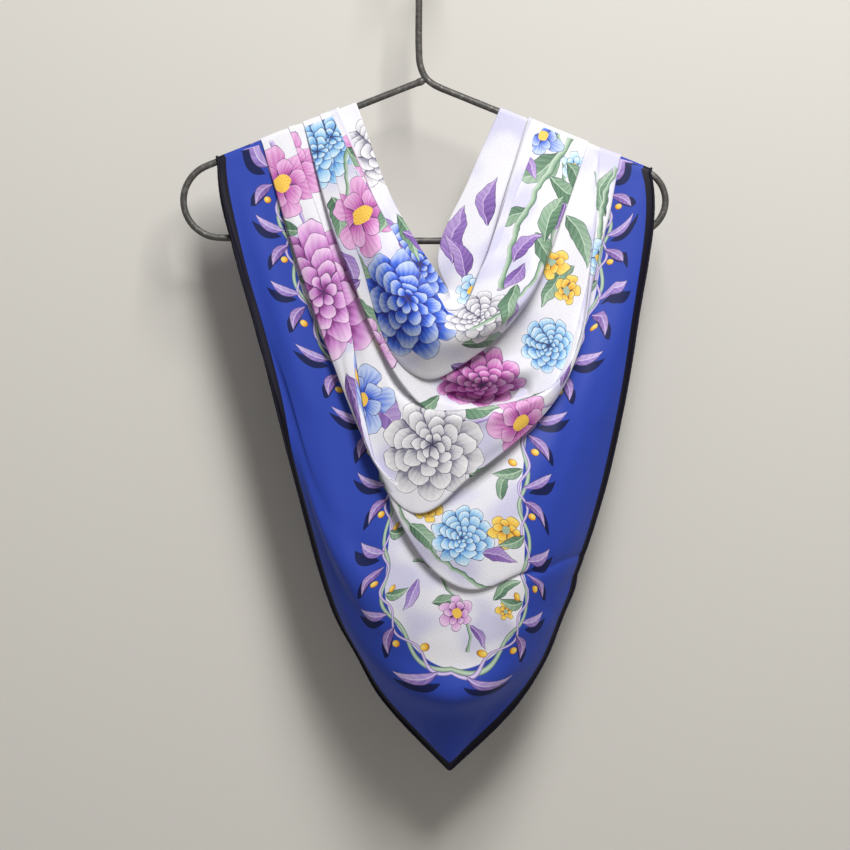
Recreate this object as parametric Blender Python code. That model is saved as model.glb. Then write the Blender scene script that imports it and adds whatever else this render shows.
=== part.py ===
"""A silk square scarf, folded once corner to corner and hung over the arms of an iron hanger.

Frame: metres, +Z up, +X to the right as seen from the front, front towards -Y.
The origin is the inner top of the hanger's hook, where whatever carries it touches it.
Sizes below are millimetres; mesh_object() turns them into metres.

The folded scarf is one double layer of silk, modelled as one wall. It hangs as a triangle
with its point down. Fold lines cross it from arm to arm and part it into the stretches that
show, from the point up to the neckline. Each stretch is a wall of its own, whose lower edge
lies in front of the stretch below, as a pleat or a swag does. What lies outside the arms
goes over them and hangs behind as two fluted tails.
"""
import math
from collections import namedtuple

import bmesh
import bpy
import numpy as np
from mathutils import Vector

MM = 0.001
LEFT = -1
RIGHT = 1
SIDES = {LEFT: "left", RIGHT: "right"}

# The hanger, one round rod bent by hand, so its two sides differ a little
ROD_RADIUS = 3.0
ROD_SIDES = 10
ARM_START_X = 0.9               # both arms' middle lines start here
ARM_START_Z = {LEFT: -150.0, RIGHT: -151.7}
ARM_SLOPE = {LEFT: math.radians(21.5), RIGHT: math.radians(22.0)}
LOOP_REACH = {LEFT: 206.9, RIGHT: 207.8}    # the rod's middle line at the two round ends
LOOP_FOOT = {LEFT: -285.9, RIGHT: -281.9}   # z where each runs into the bar
LOOP_STEPS = 12
STUB = 4.0                      # straight ends of the two round pieces
BAR_WAY = ((-60.0, -288.0), (7.0, -288.6), (80.0, -286.8))    # x, z: the bar sags a little
JOINT_LENGTH = 3.4              # the left arm starts this far out, beside the stem
NECK_LENGTH = 16.0              # the stem's rod runs this far into the right arm
STEM_X = -4.3
STEM_WAY = ((3.0, -53.0), (STEM_X + 1, -68.0), (STEM_X, -90.0), (STEM_X, -125.0),
            (-3.2, -137.5), (1.2, -147.8), (7.6, -153.6))
STEM_STEPS = (2, 3, 2, 2, 3, 3, 2, 2)
HOOK_RADIUS = 25.0
HOOK_CENTRE_Z = ROD_RADIUS - HOOK_RADIUS
HOOK_TURN = (200, -50, 10)      # degrees from, to and step, over the top

# The cloth
WALL = 1.2                      # the doubled silk
ARM_TO_CLOTH = 4.6              # arm's middle line to the first layer's middle
GAP = 0.3                       # between pieces that touch
TAIL_DROP = 372.0               # the hidden corners hang this far below the arms
TAIL_LEAN = 48.0                # and this far towards the middle
TAIL_SWING = 34.0               # the folded edge of a tail swings out this far on its way
TAIL_ROWS = (0.05, 0.12, 0.22, 0.34, 0.46, 0.58, 0.7, 0.82, 0.9, 0.96)

# The stretches of cloth that show, from the point of the triangle up to the neckline. Each
# is a wall through a few lines that run from the left arm or hem to the right arm or hem.
# A stretch starts at a fold's edge, in front of the stretch before it, and ends hidden
# behind the next one; where there is no fold the two lines meet in a seam.
# left, right: (x, z, forward) on the hem, or (distance along the arm, height in the stack).
# way: five points (x, z, forward) on the line, from left to right.
Line = namedtuple("Line", "name left right way")
Stretch = namedtuple("Stretch", "name steps colour lines")
BLUE = (0.05, 0.07, 0.40)
WHITE = (0.72, 0.70, 0.80)
LILAC = (0.55, 0.33, 0.60)
TOP = 2.2                       # stack height of a pleat that lies on another
STRETCHES = (
    Stretch("blue_hem_panel", 2, BLUE, (
        Line("point", (22, -744, 0), (22, -744, 0),
             ((22, -744, 0), (22, -744, 0), (22, -744, 0), (22, -744, 0), (22, -744, 0))),
        Line("point_rise", (-38, -679, 4), (77, -690, 4),
             ((-22, -689, 16), (-3, -695, 30), (21, -697, 40), (43, -696, 32), (61, -692, 17))),
        Line("belly_ridge", (-57, -645, 7), (104, -648, 7),
             ((-38, -661, 24), (-10, -675, 42), (24, -681, 52), (55, -675, 46), (82, -662, 27))),
        Line("belly", (-77, -608, 8), (120, -608, 8),
             ((-56, -627, 28), (-20, -643, 48), (26, -651, 58), (69, -643, 52), (100, -626, 31))),
        Line("left_low", (-111, -492, 8), (129, -586, 8),
             ((-86, -550, 22), (-45, -608, 44), (27, -628, 60), (75, -621, 54), (107, -605, 32))),
        Line("left_panel", (-138, -386, 8), (131, -575, 8),
             ((-112, -468, 15), (-64, -569, 40), (27, -608, 61), (81, -602, 55), (112, -590, 33))),
        Line("left_side", (-165, -287, 6), (134, -567, 8),
             ((-122, -412, 11), (-70, -538, 35), (28, -592, 61), (86, -587, 56), (117, -576, 34))),
        Line("left_corner", (190.9, 0), (136, -561, 8),
             ((-126, -366, 10), (-72, -508, 32), (30, -576, 59), (89, -579, 56), (119, -568, 34))),
        Line("outer_fold_under", (128, 0), (137, -556, 6),
             ((-80, -334, 10), (-22, -481, 36), (32, -559, 57), (90, -570, 54), (120, -560, 32.4))))),
    Stretch("outer_band", 2, WHITE, (
        Line("outer_fold", (150, TOP), (138, -558, 9),
             ((-100, -328, 17), (-41, -481, 44), (29, -583, 66), (91, -573, 58.4), (121, -562, 37.4))),
        Line("right_side", (145, TOP), (159, -486, 8),
             ((-94, -327, 19), (-36, -488, 48), (31, -559, 67), (99, -524, 58), (137, -493, 32))),
        Line("right_panel", (140, TOP), (182, -366, 8),
             ((-87, -325, 20), (-31, -494, 51), (34, -535, 65), (106, -479, 54), (152, -426, 26))),
        Line("right_corner", (133, TOP), (208.4, 0),
             ((-79, -321, 21), (-25, -498, 54), (38, -492, 56), (112, -422, 40), (163, -328, 13))),
        Line("swag_fold_under", (122, 1.2), (168, 0),
             ((-71, -316, 20), (-18, -498, 55), (39, -462, 46), (103, -383, 33), (139, -298, 12))))),
    Stretch("lower_swag", 3, WHITE, (
        Line("swag_fold", (124, 3.0), (180, TOP),
             ((-73, -318, 24), (-21, -501, 60), (37, -491, 70), (117, -418, 51), (151, -293, 21))),
        Line("swag_face", (112, 0.2), (170, 1.5),
             ((-62, -309, 23), (-14, -463, 58), (47, -461, 72), (118, -412, 54), (148, -294, 23))),
        Line("pocket_lip", (97, 0), (160, 0.6),
             ((-50, -301, 23), (-8, -427, 55), (53, -431, 72), (115, -408, 57), (144, -296, 24))))),
    Stretch("middle_band", 3, LILAC, (
        Line("pocket_floor", (111, TOP), (159, 0.4),
             ((-67, -305, 29), (-6, -425, 55.4), (53, -457, 55), (110, -424, 43), (143, -297, 21))),
        Line("cowl_fold_under", (92, 1.4), (121, 0),
             ((-55, -296, 33), (-1, -402, 53.4), (44, -372, 47), (90, -304, 34), (106, -246, 12))))),
    Stretch("cowl_swag", 2, WHITE, (
        Line("cowl_fold", (95, 3.0), (149.5, TOP),
             ((-57, -298, 37.2), (-3, -406, 58.4), (44, -387, 62), (90, -340, 54), (119, -266, 24))),
        Line("cowl_ridge", (88, TOP), (134, TOP),
             ((-45, -283, 40), (-3, -358, 68), (35, -372, 76), (83, -344, 67), (113, -262, 28))),
        Line("cowl_bowl", (83, TOP), (111, TOP),
             ((-39, -276, 40), (5, -345, 59), (31, -357, 63), (70, -322, 53), (98, -252, 26))),
        Line("inner_fold", (78, TOP), (94, TOP),
             ((-34, -269, 38), (14, -340, 53), (24, -352, 54), (48, -313, 44), (71, -243, 22))))),
    Stretch("neckline_band", 3, WHITE, (
        Line("inner_fold_under", (90, 0), (117, 0),
             ((-36, -271, 35.4), (12, -343, 50.4), (30, -345, 42), (61, -303, 31), (88, -236, 12))),
        Line("neckline", (63, 0), (69, 0),
             ((-26, -256, 21), (21, -333, 43), (22, -334, 31), (12, -306, 19), (39, -236, 7))))),
)
STEPS_ACROSS = (5, 4, 4, 4, 4, 5)
POINT_CUT = 0.2                 # the wall ends this share of a step short of the very point
REACH_LIMIT = 2.5               # a curve's reach, at most this many times the gap beside it
TURN_FLOOR = 0.2                # and a heading is never stretched more than 1 / this

# The tails: share of the way from the hem to the neckline, and height in the stack there
TAIL_STACK = {
    LEFT: ((0, 0), (0.27, 0), (0.34, TOP), (0.82, TOP), (0.9, 0), (1, 0)),
    RIGHT: ((0, 0), (0.17, 0), (0.24, TOP), (0.76, TOP), (0.84, 0), (1, 0)),
}
TAIL_SPAN = {LEFT: (190.9, 63), RIGHT: (208.4, 69)}   # along the arm, hem to neckline
TAIL_COLUMNS = 24
FLUTES = 3.0                    # soft folds across a tail
FLUTE_DEPTH = 20.0
FLUTE_START = 0.4               # they are full at this share of the drop
WRAP = (9, 45, 90, 135, 180)    # degrees round the arm, from its front to its back


def arm_point(side, along):
    """A point on an arm's middle line, as (x, z)."""
    return (ARM_START_X + side * along * math.cos(ARM_SLOPE[side]),
            ARM_START_Z[side] - along * math.sin(ARM_SLOPE[side]))


def end_point(end, side):
    """A fold line's end on the hem or on an arm, as (x, y, z)."""
    if len(end) == 3:
        x, z, forward = end
        return (x, -ARM_TO_CLOTH - forward, z)
    along, stack = end
    x, z = arm_point(side, along)
    return (x, -ARM_TO_CLOTH - stack, z)


def unit(vector):
    size = np.linalg.norm(vector, axis=-1, keepdims=True)
    return vector / np.maximum(size, 1e-9)


def curve_through(points, steps):
    """A smooth curve through points, with steps[i] parts in gap i and no overshoot."""
    points = np.asarray(points, float)
    span = np.maximum(np.linalg.norm(np.diff(points, axis=0), axis=1), 1e-6)
    slope = np.diff(points, axis=0) / span[:, None]
    heading = np.concatenate((slope[:1], slope[:-1] + slope[1:], slope[-1:]))
    size = np.linalg.norm(heading[1:-1], axis=1, keepdims=True)
    heading[1:-1] /= np.maximum(size, TURN_FLOOR)
    out = []
    for i, count in enumerate(steps):
        before, after = span[max(i - 1, 0)], span[min(i + 1, len(span) - 1)]
        reach_in = min(span[i], REACH_LIMIT * before)
        reach_out = min(span[i], REACH_LIMIT * after)
        for part in range(count):
            t = part / count
            out.append((2 * t**3 - 3 * t**2 + 1) * points[i]
                       + (t**3 - 2 * t**2 + t) * reach_in * heading[i]
                       + (3 * t**2 - 2 * t**3) * points[i + 1]
                       + (t**3 - t**2) * reach_out * heading[i + 1])
    out.append(points[-1])
    return np.array(out)


def line_points(line):
    """One line across a stretch, as points (x, y, z) from left to right."""
    way = [(x, -ARM_TO_CLOTH - forward, z) for x, z, forward in line.way]
    points = [end_point(line.left, LEFT)] + way + [end_point(line.right, RIGHT)]
    if line.left == line.right:
        return np.tile(np.array(points[0], float), (sum(STEPS_ACROSS) + 1, 1))
    return curve_through(points, STEPS_ACROSS)


def stretch_grid(stretch):
    """A stretch's middle surface: rows from its first line up, columns from left to right."""
    lines = np.array([line_points(line) for line in stretch.lines])
    steps = [stretch.steps] * (len(lines) - 1)
    columns = [curve_through(lines[:, i], steps) for i in range(lines.shape[1])]
    grid = np.array(columns).transpose(1, 0, 2)
    for index, (line, following) in enumerate(zip(stretch.lines, stretch.lines[1:])):
        share = np.linspace(0, 1, stretch.steps + 1)[:, None]
        rows = slice(index * stretch.steps, (index + 1) * stretch.steps + 1)
        for column, on_arm in ((0, len(line.left) == len(following.left) == 2),
                               (-1, len(line.right) == len(following.right) == 2)):
            if on_arm:
                start, end = lines[index, column], lines[index + 1, column]
                grid[rows, column] = start + (end - start) * share
    return grid


def smoothstep(value):
    value = min(max(value, 0.0), 1.0)
    return value * value * (3 - 2 * value)


def tail_grid(side):
    """A tail's middle surface: columns along the arm, rows over the arm and down behind it."""
    share = np.linspace(0, 1, TAIL_COLUMNS + 1)
    hem_end, neck_end = TAIL_SPAN[side]
    along = hem_end + (neck_end - hem_end) * share
    stack = np.interp(share, *zip(*TAIL_STACK[side]))
    axis = np.array([(x, 0, z) for x, z in (arm_point(side, a) for a in along)])
    up = np.array((side * math.sin(ARM_SLOPE[side]), 0, math.cos(ARM_SLOPE[side])))
    back = np.array((0, 1, 0))
    inward = np.array((-side, 0, 0))
    rows = []
    reach = (ARM_TO_CLOTH + stack)[:, None]
    for turn in WRAP:
        angle = math.radians(turn)
        rows.append(axis + reach * (math.sin(angle) * up - math.cos(angle) * back))
    middle = axis[len(axis) // 2]
    corner = middle + inward * TAIL_LEAN - np.array((0, 0, TAIL_DROP))
    wave = 0.5 - 0.5 * np.cos(2 * math.pi * FLUTES * share)
    for down in TAIL_ROWS:
        swing = TAIL_SWING * math.sin(math.pi * down ** 1.3)
        place = axis + (corner - axis) * down + (share * swing)[:, None] * inward
        flute = FLUTE_DEPTH * smoothstep(down / FLUTE_START) * (1 - down) ** 1.3
        rows.append(place + (ARM_TO_CLOTH + stack * (1 - down) + wave * flute)[:, None] * back)
    return np.array(rows)


def trimmed(grid, distance):
    """The grid with its four edges drawn in by a distance."""
    grid = grid.copy()
    for edge, inner in ((grid[0], grid[1]), (grid[-1], grid[-2]),
                        (grid[:, 0], grid[:, 1]), (grid[:, -1], grid[:, -2])):
        edge += unit(inner - edge) * distance
    return grid


def wall_mesh(grid):
    """Close a grid of middle points into a wall of even thickness, as (vertices, faces)."""
    rows, columns = grid.shape[:2]
    across = np.gradient(grid, axis=1)
    along = np.gradient(grid, axis=0)
    normal = np.cross(across, along)
    normal /= np.maximum(np.linalg.norm(normal, axis=-1, keepdims=True), 1e-9)
    front = (grid + normal * WALL / 2).reshape(-1, 3)
    back = (grid - normal * WALL / 2).reshape(-1, 3)
    vertices = np.concatenate((front, back))
    offset = rows * columns
    faces = []
    for r in range(rows - 1):
        for c in range(columns - 1):
            a = r * columns + c
            b, d, e = a + 1, a + columns, a + columns + 1
            faces.append((a, b, e, d))
            faces.append((a + offset, d + offset, e + offset, b + offset))
    rim = [r * columns for r in range(rows - 1, 0, -1)] + list(range(columns - 1))
    rim += [r * columns + columns - 1 for r in range(rows - 1)]
    rim += [(rows - 1) * columns + c for c in range(columns - 1, 0, -1)]
    for a, b in zip(rim, rim[1:] + rim[:1]):
        faces.append((b, a, a + offset, b + offset))
    return vertices, faces


def tube_mesh(path, radius, sides, rounded=(False, False)):
    """Sweep a round section along a path, as (vertices, faces)."""
    path = np.asarray(path, float)
    tangent = np.gradient(path, axis=0)
    tangent /= np.linalg.norm(tangent, axis=1, keepdims=True)
    sections = [(p, t, radius) for p, t in zip(path, tangent)]
    cap = [(math.sin(math.radians(a)), math.cos(math.radians(a))) for a in (30, 60, 78)]
    if rounded[0]:
        p, t = path[0], tangent[0]
        sections = [(p - t * radius * s, t, radius * c) for s, c in reversed(cap)] + sections
    if rounded[1]:
        p, t = path[-1], tangent[-1]
        sections += [(p + t * radius * s, t, radius * c) for s, c in cap]
    vertices = []
    side = np.cross(tangent[0], (0.0, 1.0, 0.0))
    if np.linalg.norm(side) < 0.1:
        side = np.cross(tangent[0], (1.0, 0.0, 0.0))
    for centre, direction, size in sections:
        side = side - direction * np.dot(side, direction)
        side /= np.linalg.norm(side)
        other = np.cross(direction, side)
        for k in range(sides):
            angle = 2 * math.pi * k / sides
            vertices.append(centre + size * (math.cos(angle) * side + math.sin(angle) * other))
    faces = [tuple(range(sides))[::-1]]
    for ring in range(len(sections) - 1):
        for k in range(sides):
            a = ring * sides + k
            b = ring * sides + (k + 1) % sides
            faces.append((a, b, b + sides, a + sides))
    last = (len(sections) - 1) * sides
    faces.append(tuple(last + k for k in range(sides)))
    return vertices, faces


def finish(name, colour, roughness, metallic):
    material = bpy.data.materials.new(name)
    material.use_nodes = True
    shader = material.node_tree.nodes["Principled BSDF"]
    shader.inputs["Base Color"].default_value = (*colour, 1)
    shader.inputs["Roughness"].default_value = roughness
    shader.inputs["Metallic"].default_value = metallic
    return material


def mesh_object(name, shape, material):
    """Make one named object from (vertices, faces) in millimetres."""
    vertices, faces = shape
    mesh = bpy.data.meshes.new(name)
    mesh.from_pydata([Vector(v) * MM for v in vertices], [], faces)
    work = bmesh.new()
    work.from_mesh(mesh)
    bmesh.ops.triangulate(work, faces=work.faces)
    bmesh.ops.recalc_face_normals(work, faces=work.faces)
    if work.calc_volume(signed=True) < 0:
        bmesh.ops.reverse_faces(work, faces=work.faces)
    work.to_mesh(mesh)
    work.free()
    mesh.materials.append(material)
    mesh.shade_smooth()
    mesh.set_sharp_from_angle(angle=math.radians(50))
    obj = bpy.data.objects.new(name, mesh)
    bpy.context.scene.collection.objects.link(obj)
    return obj


def flat_path(points):
    """(x, z) points as (x, 0, z)."""
    return [(x, 0.0, z) for x, z in points]


def loop_arc(side):
    """A round end of the hanger, from its arm's end to the lower bar, as (x, z) points."""
    slope = ARM_SLOPE[side]
    reach = LOOP_REACH[side] - side * ARM_START_X
    drop = ARM_START_Z[side] - LOOP_FOOT[side] - reach * math.tan(slope)
    radius = drop * math.cos(slope) / (1 - math.sin(slope) + math.cos(slope))
    centre = (side * (LOOP_REACH[side] - radius), LOOP_FOOT[side] + radius)
    start = math.pi / 2 - slope
    points = []
    for i in range(LOOP_STEPS + 1):
        angle = start - (math.pi / 2 + start) * i / LOOP_STEPS
        points.append((centre[0] + side * radius * math.cos(angle),
                       centre[1] + radius * math.sin(angle)))
    lead_in = (points[0][0] - side * STUB * math.cos(slope),
               points[0][1] + STUB * math.sin(slope))
    lead_out = (points[-1][0] - side * STUB, points[-1][1])
    return [lead_in] + points + [lead_out]


def shortened(points, start, end):
    """A path with its two ends drawn in."""
    points = [np.array(p, float) for p in points]
    for at, next_to, distance in ((0, 1, start), (-1, -2, end)):
        step = points[next_to] - points[at]
        points[at] = points[at] + step / np.linalg.norm(step) * distance
    return points


def make_hanger():
    iron = finish("forged_iron", (0.045, 0.044, 0.048), 0.45, 0.85)
    hook = []
    first, last, step = HOOK_TURN
    for degrees in range(first, last - 1, -step):
        turn = math.radians(degrees)
        hook.append((HOOK_RADIUS * math.cos(turn), HOOK_CENTRE_Z + HOOK_RADIUS * math.sin(turn)))
    right_start = arm_point(RIGHT, NECK_LENGTH)
    stem = flat_path([hook[-1], *STEM_WAY, right_start])
    path = flat_path(hook[:-1]) + [tuple(p) for p in curve_through(stem, STEM_STEPS)]
    mesh_object("hanger_hook", tube_mesh(path, ROD_RADIUS, ROD_SIDES, (True, False)), iron)
    starts = {LEFT: arm_point(LEFT, JOINT_LENGTH), RIGHT: right_start}
    for side, word in SIDES.items():
        arc = loop_arc(side)
        arm = shortened(flat_path([starts[side], arc[0]]), GAP, GAP / 2)
        mesh_object(f"hanger_arm_{word}", tube_mesh(arm, ROD_RADIUS, ROD_SIDES), iron)
        loop = shortened(flat_path(arc), GAP / 2, GAP / 2)
        mesh_object(f"hanger_loop_{word}", tube_mesh(loop, ROD_RADIUS, ROD_SIDES), iron)
    bar = flat_path([loop_arc(LEFT)[-1], *BAR_WAY, loop_arc(RIGHT)[-1]])
    bar = shortened(curve_through(bar, (3, 3, 3, 3)), GAP / 2, GAP / 2)
    mesh_object("hanger_bar", tube_mesh(bar, ROD_RADIUS, ROD_SIDES), iron)


def make_scarf():
    for stretch in STRETCHES:
        grid = stretch_grid(stretch)
        if stretch.lines[0].name == "point":
            grid[0] += (grid[1] - grid[0]) * POINT_CUT
        grid = trimmed(grid, GAP / 2)
        silk = finish(stretch.name, stretch.colour, 0.4, 0.0)
        mesh_object(stretch.name, wall_mesh(grid), silk)
    for side, word in SIDES.items():
        silk = finish(f"{word}_tail", WHITE, 0.4, 0.0)
        mesh_object(f"{word}_tail", wall_mesh(trimmed(tail_grid(side), GAP / 2)), silk)


def main():
    for obj in list(bpy.data.objects):
        bpy.data.objects.remove(obj, do_unlink=True)
    make_hanger()
    make_scarf()


main()
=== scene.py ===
# %% [markdown]
# # A silk square on a forged hanger
# The object is one printed square of silk twill, 90 cm a side. It is folded corner to corner,
# laid over the arms of a hanger made of one bent iron rod, and falls in front in swags.
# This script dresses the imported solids: it makes the thin cloth, its rolled hems, its print
# and the iron's skin, and then a small studio to look at it in.
# The frame: +Z is up, +X is to the right, the front faces -Y, and the hanger's hook touches
# its rail at the origin.

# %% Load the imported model
import math
from collections import namedtuple

import bmesh
import bpy
import numpy as np
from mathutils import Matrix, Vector


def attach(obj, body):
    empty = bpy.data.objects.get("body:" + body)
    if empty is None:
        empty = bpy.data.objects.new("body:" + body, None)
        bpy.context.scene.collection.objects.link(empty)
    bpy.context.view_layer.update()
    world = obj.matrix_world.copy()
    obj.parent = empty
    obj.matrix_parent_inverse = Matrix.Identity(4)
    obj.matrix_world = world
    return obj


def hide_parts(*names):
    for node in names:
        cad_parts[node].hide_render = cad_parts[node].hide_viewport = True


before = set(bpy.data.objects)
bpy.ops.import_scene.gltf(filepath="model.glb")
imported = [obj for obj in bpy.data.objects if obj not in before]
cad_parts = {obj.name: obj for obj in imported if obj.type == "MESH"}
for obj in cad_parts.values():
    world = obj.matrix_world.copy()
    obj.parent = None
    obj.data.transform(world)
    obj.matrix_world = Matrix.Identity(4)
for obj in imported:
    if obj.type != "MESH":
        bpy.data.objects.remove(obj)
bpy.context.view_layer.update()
MM = 0.001
LEFT, RIGHT = -1, 1
print("nodes:", sorted(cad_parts))

# %% [markdown]
# ## Where the cloth runs
# A draped cloth is easiest to describe by the lines that a tailor would draw on it: the
# lines where it folds. Each line below runs from the left arm or the left hem to the right
# arm or the right hem. Between its two ends it passes five points. A stretch of cloth is the
# smooth surface through a few such lines. Its first line is the edge of a fold, in front of
# the stretch below it, and its last line is hidden behind the next stretch.
# All sizes are in millimetres here, and turned into metres when a mesh is made.

# %% The hanger's arms, where the cloth rests
ARM_START_X = 0.9
ARM_START_Z = {LEFT: -150.0, RIGHT: -151.7}
ARM_SLOPE = {LEFT: math.radians(21.5), RIGHT: math.radians(22.0)}
ROD_RADIUS = 3.0
REST = 3.9          # from an arm's middle line to the first layer of silk
LAYER = 0.55        # how far one pleat's height in the table lifts the silk off the arm


def arm_point(side, along):
    """A point on an arm's middle line, as (x, z)."""
    return (ARM_START_X + side * along * math.cos(ARM_SLOPE[side]),
            ARM_START_Z[side] - along * math.sin(ARM_SLOPE[side]))


# %% The lines of the drape
Line = namedtuple("Line", "name left right way")
Stretch = namedtuple("Stretch", "name rows lines")
TOP = 2.2           # stack height of a pleat that lies on another
STRETCHES = (
    Stretch("blue_hem_panel", 14, (
        Line("point", (22, -744, 0), (22, -744, 0),
             ((22, -744, 0), (22, -744, 0), (22, -744, 0), (22, -744, 0), (22, -744, 0))),
        Line("point_rise", (-38, -679, 4), (77, -690, 4),
             ((-22, -689, 12), (-3, -695, 25), (21, -698, 33), (43, -696, 27), (61, -692, 13))),
        Line("belly_ridge", (-57, -645, 7), (104, -648, 7),
             ((-38, -661, 27), (-10, -674, 47), (24, -680, 59), (55, -674, 52), (82, -662, 30))),
        Line("belly", (-77, -608, 8), (120, -608, 8),
             ((-56, -627, 28), (-20, -643, 48), (26, -651, 58), (69, -643, 52), (100, -626, 31))),
        Line("left_low", (-111, -492, 8), (129, -586, 8),
             ((-86, -550, 22), (-45, -608, 44), (27, -628, 60), (75, -621, 54), (107, -605, 32))),
        Line("left_panel", (-138, -386, 8), (131, -575, 8),
             ((-112, -468, 15), (-64, -569, 40), (27, -608, 61), (81, -602, 55), (112, -590, 33))),
        Line("left_side", (-165, -287, 6), (134, -567, 8),
             ((-122, -412, 11), (-70, -538, 35), (28, -592, 61), (86, -587, 56), (117, -576, 34))),
        Line("left_corner", (190.9, 0), (136, -561, 8),
             ((-126, -366, 10), (-72, -508, 32), (30, -576, 59), (89, -579, 56), (119, -568, 34))),
        Line("outer_fold_under", (128, 0), (137, -556, 6),
             ((-80, -334, 10), (-22, -481, 36), (32, -559, 57), (90, -570, 54),
              (120, -560, 32.4))))),
    Stretch("outer_band", 16, (
        Line("outer_fold", (150, TOP), (138, -558, 9),
             ((-100, -328, 17), (-41, -481, 44), (29, -583, 66), (91, -573, 58.4),
              (121, -562, 37.4))),
        Line("right_side", (145, TOP), (159, -486, 8),
             ((-94, -327, 19), (-36, -488, 48), (31, -559, 67), (99, -524, 58), (137, -493, 32))),
        Line("right_panel", (140, TOP), (182, -366, 8),
             ((-87, -325, 20), (-31, -494, 51), (34, -535, 65), (106, -479, 54), (152, -426, 26))),
        Line("right_corner", (133, TOP), (208.4, 0),
             ((-79, -321, 21), (-25, -498, 54), (38, -492, 56), (112, -422, 40), (163, -328, 13))),
        Line("swag_fold_under", (122, 1.2), (168, 0),
             ((-71, -316, 20), (-18, -498, 55), (39, -462, 46), (103, -383, 33),
              (139, -298, 12))))),
    Stretch("lower_swag", 18, (
        Line("swag_fold", (124, 3.0), (180, TOP),
             ((-73, -318, 24), (-12, -520, 61), (37, -492, 70), (117, -418, 51), (151, -293, 21))),
        Line("swag_face", (112, 0.2), (170, 1.5),
             ((-62, -309, 23), (-14, -463, 58), (47, -461, 72), (118, -412, 54), (148, -294, 23))),
        Line("pocket_lip", (97, 0), (160, 0.6),
             ((-50, -301, 23), (-8, -427, 55), (53, -431, 72), (115, -408, 57), (144, -296, 24))))),
    Stretch("middle_band", 36, (
        Line("pocket_floor", (111, TOP), (159, 0.4),
             ((-67, -305, 29), (-6, -425, 55.4), (53, -457, 55), (110, -424, 43), (143, -297, 21))),
        Line("cowl_fold_under", (92, 1.4), (121, 0),
             ((-55, -296, 33), (-1, -402, 53.4), (44, -372, 47), (90, -304, 34),
              (106, -246, 12))))),
    Stretch("cowl_swag", 14, (
        Line("cowl_fold", (95, 3.0), (149.5, TOP),
             ((-57, -298, 37.2), (-3, -406, 58.4), (44, -387, 62), (90, -340, 54),
              (119, -266, 24))),
        Line("cowl_ridge", (88, TOP), (134, TOP),
             ((-45, -283, 42), (-3, -354, 77), (35, -369, 80), (83, -342, 70), (113, -262, 28))),
        Line("cowl_bowl", (83, TOP), (111, TOP),
             ((-39, -276, 40), (5, -345, 59), (31, -357, 63), (70, -322, 53), (98, -252, 26))),
        Line("inner_fold", (78, TOP), (94, TOP),
             ((-34, -269, 38), (14, -340, 53), (24, -352, 54), (48, -313, 44), (71, -243, 22))))),
    Stretch("neckline_band", 30, (
        Line("inner_fold_under", (90, 0), (117, 0),
             ((-36, -271, 35.4), (12, -343, 50.4), (30, -345, 42), (61, -303, 31), (88, -236, 12))),
        Line("neckline", (63, 0), (69, 0),
             ((-26, -256, 21), (21, -333, 43), (22, -334, 31), (12, -306, 19), (39, -236, 7))))),
)

# %% [markdown]
# ## Smooth curves through a few points
# A Hermite curve passes through its points with a chosen heading at each. The heading here
# is the mean of the two neighbouring chords, and its reach is limited where a short gap
# follows a long one, so that the curve never loops. The same curve is used across the cloth,
# from arm to arm, and up the cloth, from line to line.

# %% Curves and surfaces
STRETCH = {stretch.name: stretch for stretch in STRETCHES}
ACROSS = (30, 24, 24, 24, 24, 30)   # parts of each gap across the front
COLUMNS = sum(ACROSS) + 1
REACH_LIMIT = 2.5                   # a curve's reach, at most this many times the gap beside it
TURN_FLOOR = 0.2                    # where a curve doubles back, its heading stays shorter


def curve_through(points, steps):
    """A smooth curve through points, with steps[i] parts in gap i."""
    points = np.asarray(points, float)
    span = np.maximum(np.linalg.norm(np.diff(points, axis=0), axis=1), 1e-6)
    slope = np.diff(points, axis=0) / span[:, None]
    heading = np.concatenate((slope[:1], slope[:-1] + slope[1:], slope[-1:]))
    size = np.linalg.norm(heading[1:-1], axis=1, keepdims=True)
    heading[1:-1] /= np.maximum(size, TURN_FLOOR)
    pieces = []
    for i, count in enumerate(steps):
        t = (np.arange(count) / count)[:, None]
        before, after = span[max(i - 1, 0)], span[min(i + 1, len(span) - 1)]
        reach_in = min(span[i], REACH_LIMIT * before)
        reach_out = min(span[i], REACH_LIMIT * after)
        pieces.append((2 * t**3 - 3 * t**2 + 1) * points[i] + (3 * t**2 - 2 * t**3) * points[i + 1]
                      + (t**3 - 2 * t**2 + t) * reach_in * heading[i]
                      + (t**3 - t**2) * reach_out * heading[i + 1])
    return np.concatenate((*pieces, points[-1:]))


def end_point(end, side):
    """A line's end on the hem or on an arm, as (x, y, z)."""
    if len(end) == 3:
        x, z, forward = end
        return (x, -REST - forward, z)
    along, stack = end
    x, z = arm_point(side, along)
    return (x, -REST - LAYER * stack, z)


def line_points(line):
    """One line of the drape as points (x, y, z), from left to right."""
    if line.left == line.right:
        return np.tile(np.array(end_point(line.left, LEFT), float), (COLUMNS, 1))
    way = [(x, -REST - forward, z) for x, z, forward in line.way]
    ends = end_point(line.left, LEFT), end_point(line.right, RIGHT)
    return curve_through([ends[0], *way, ends[1]], ACROSS)


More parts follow.
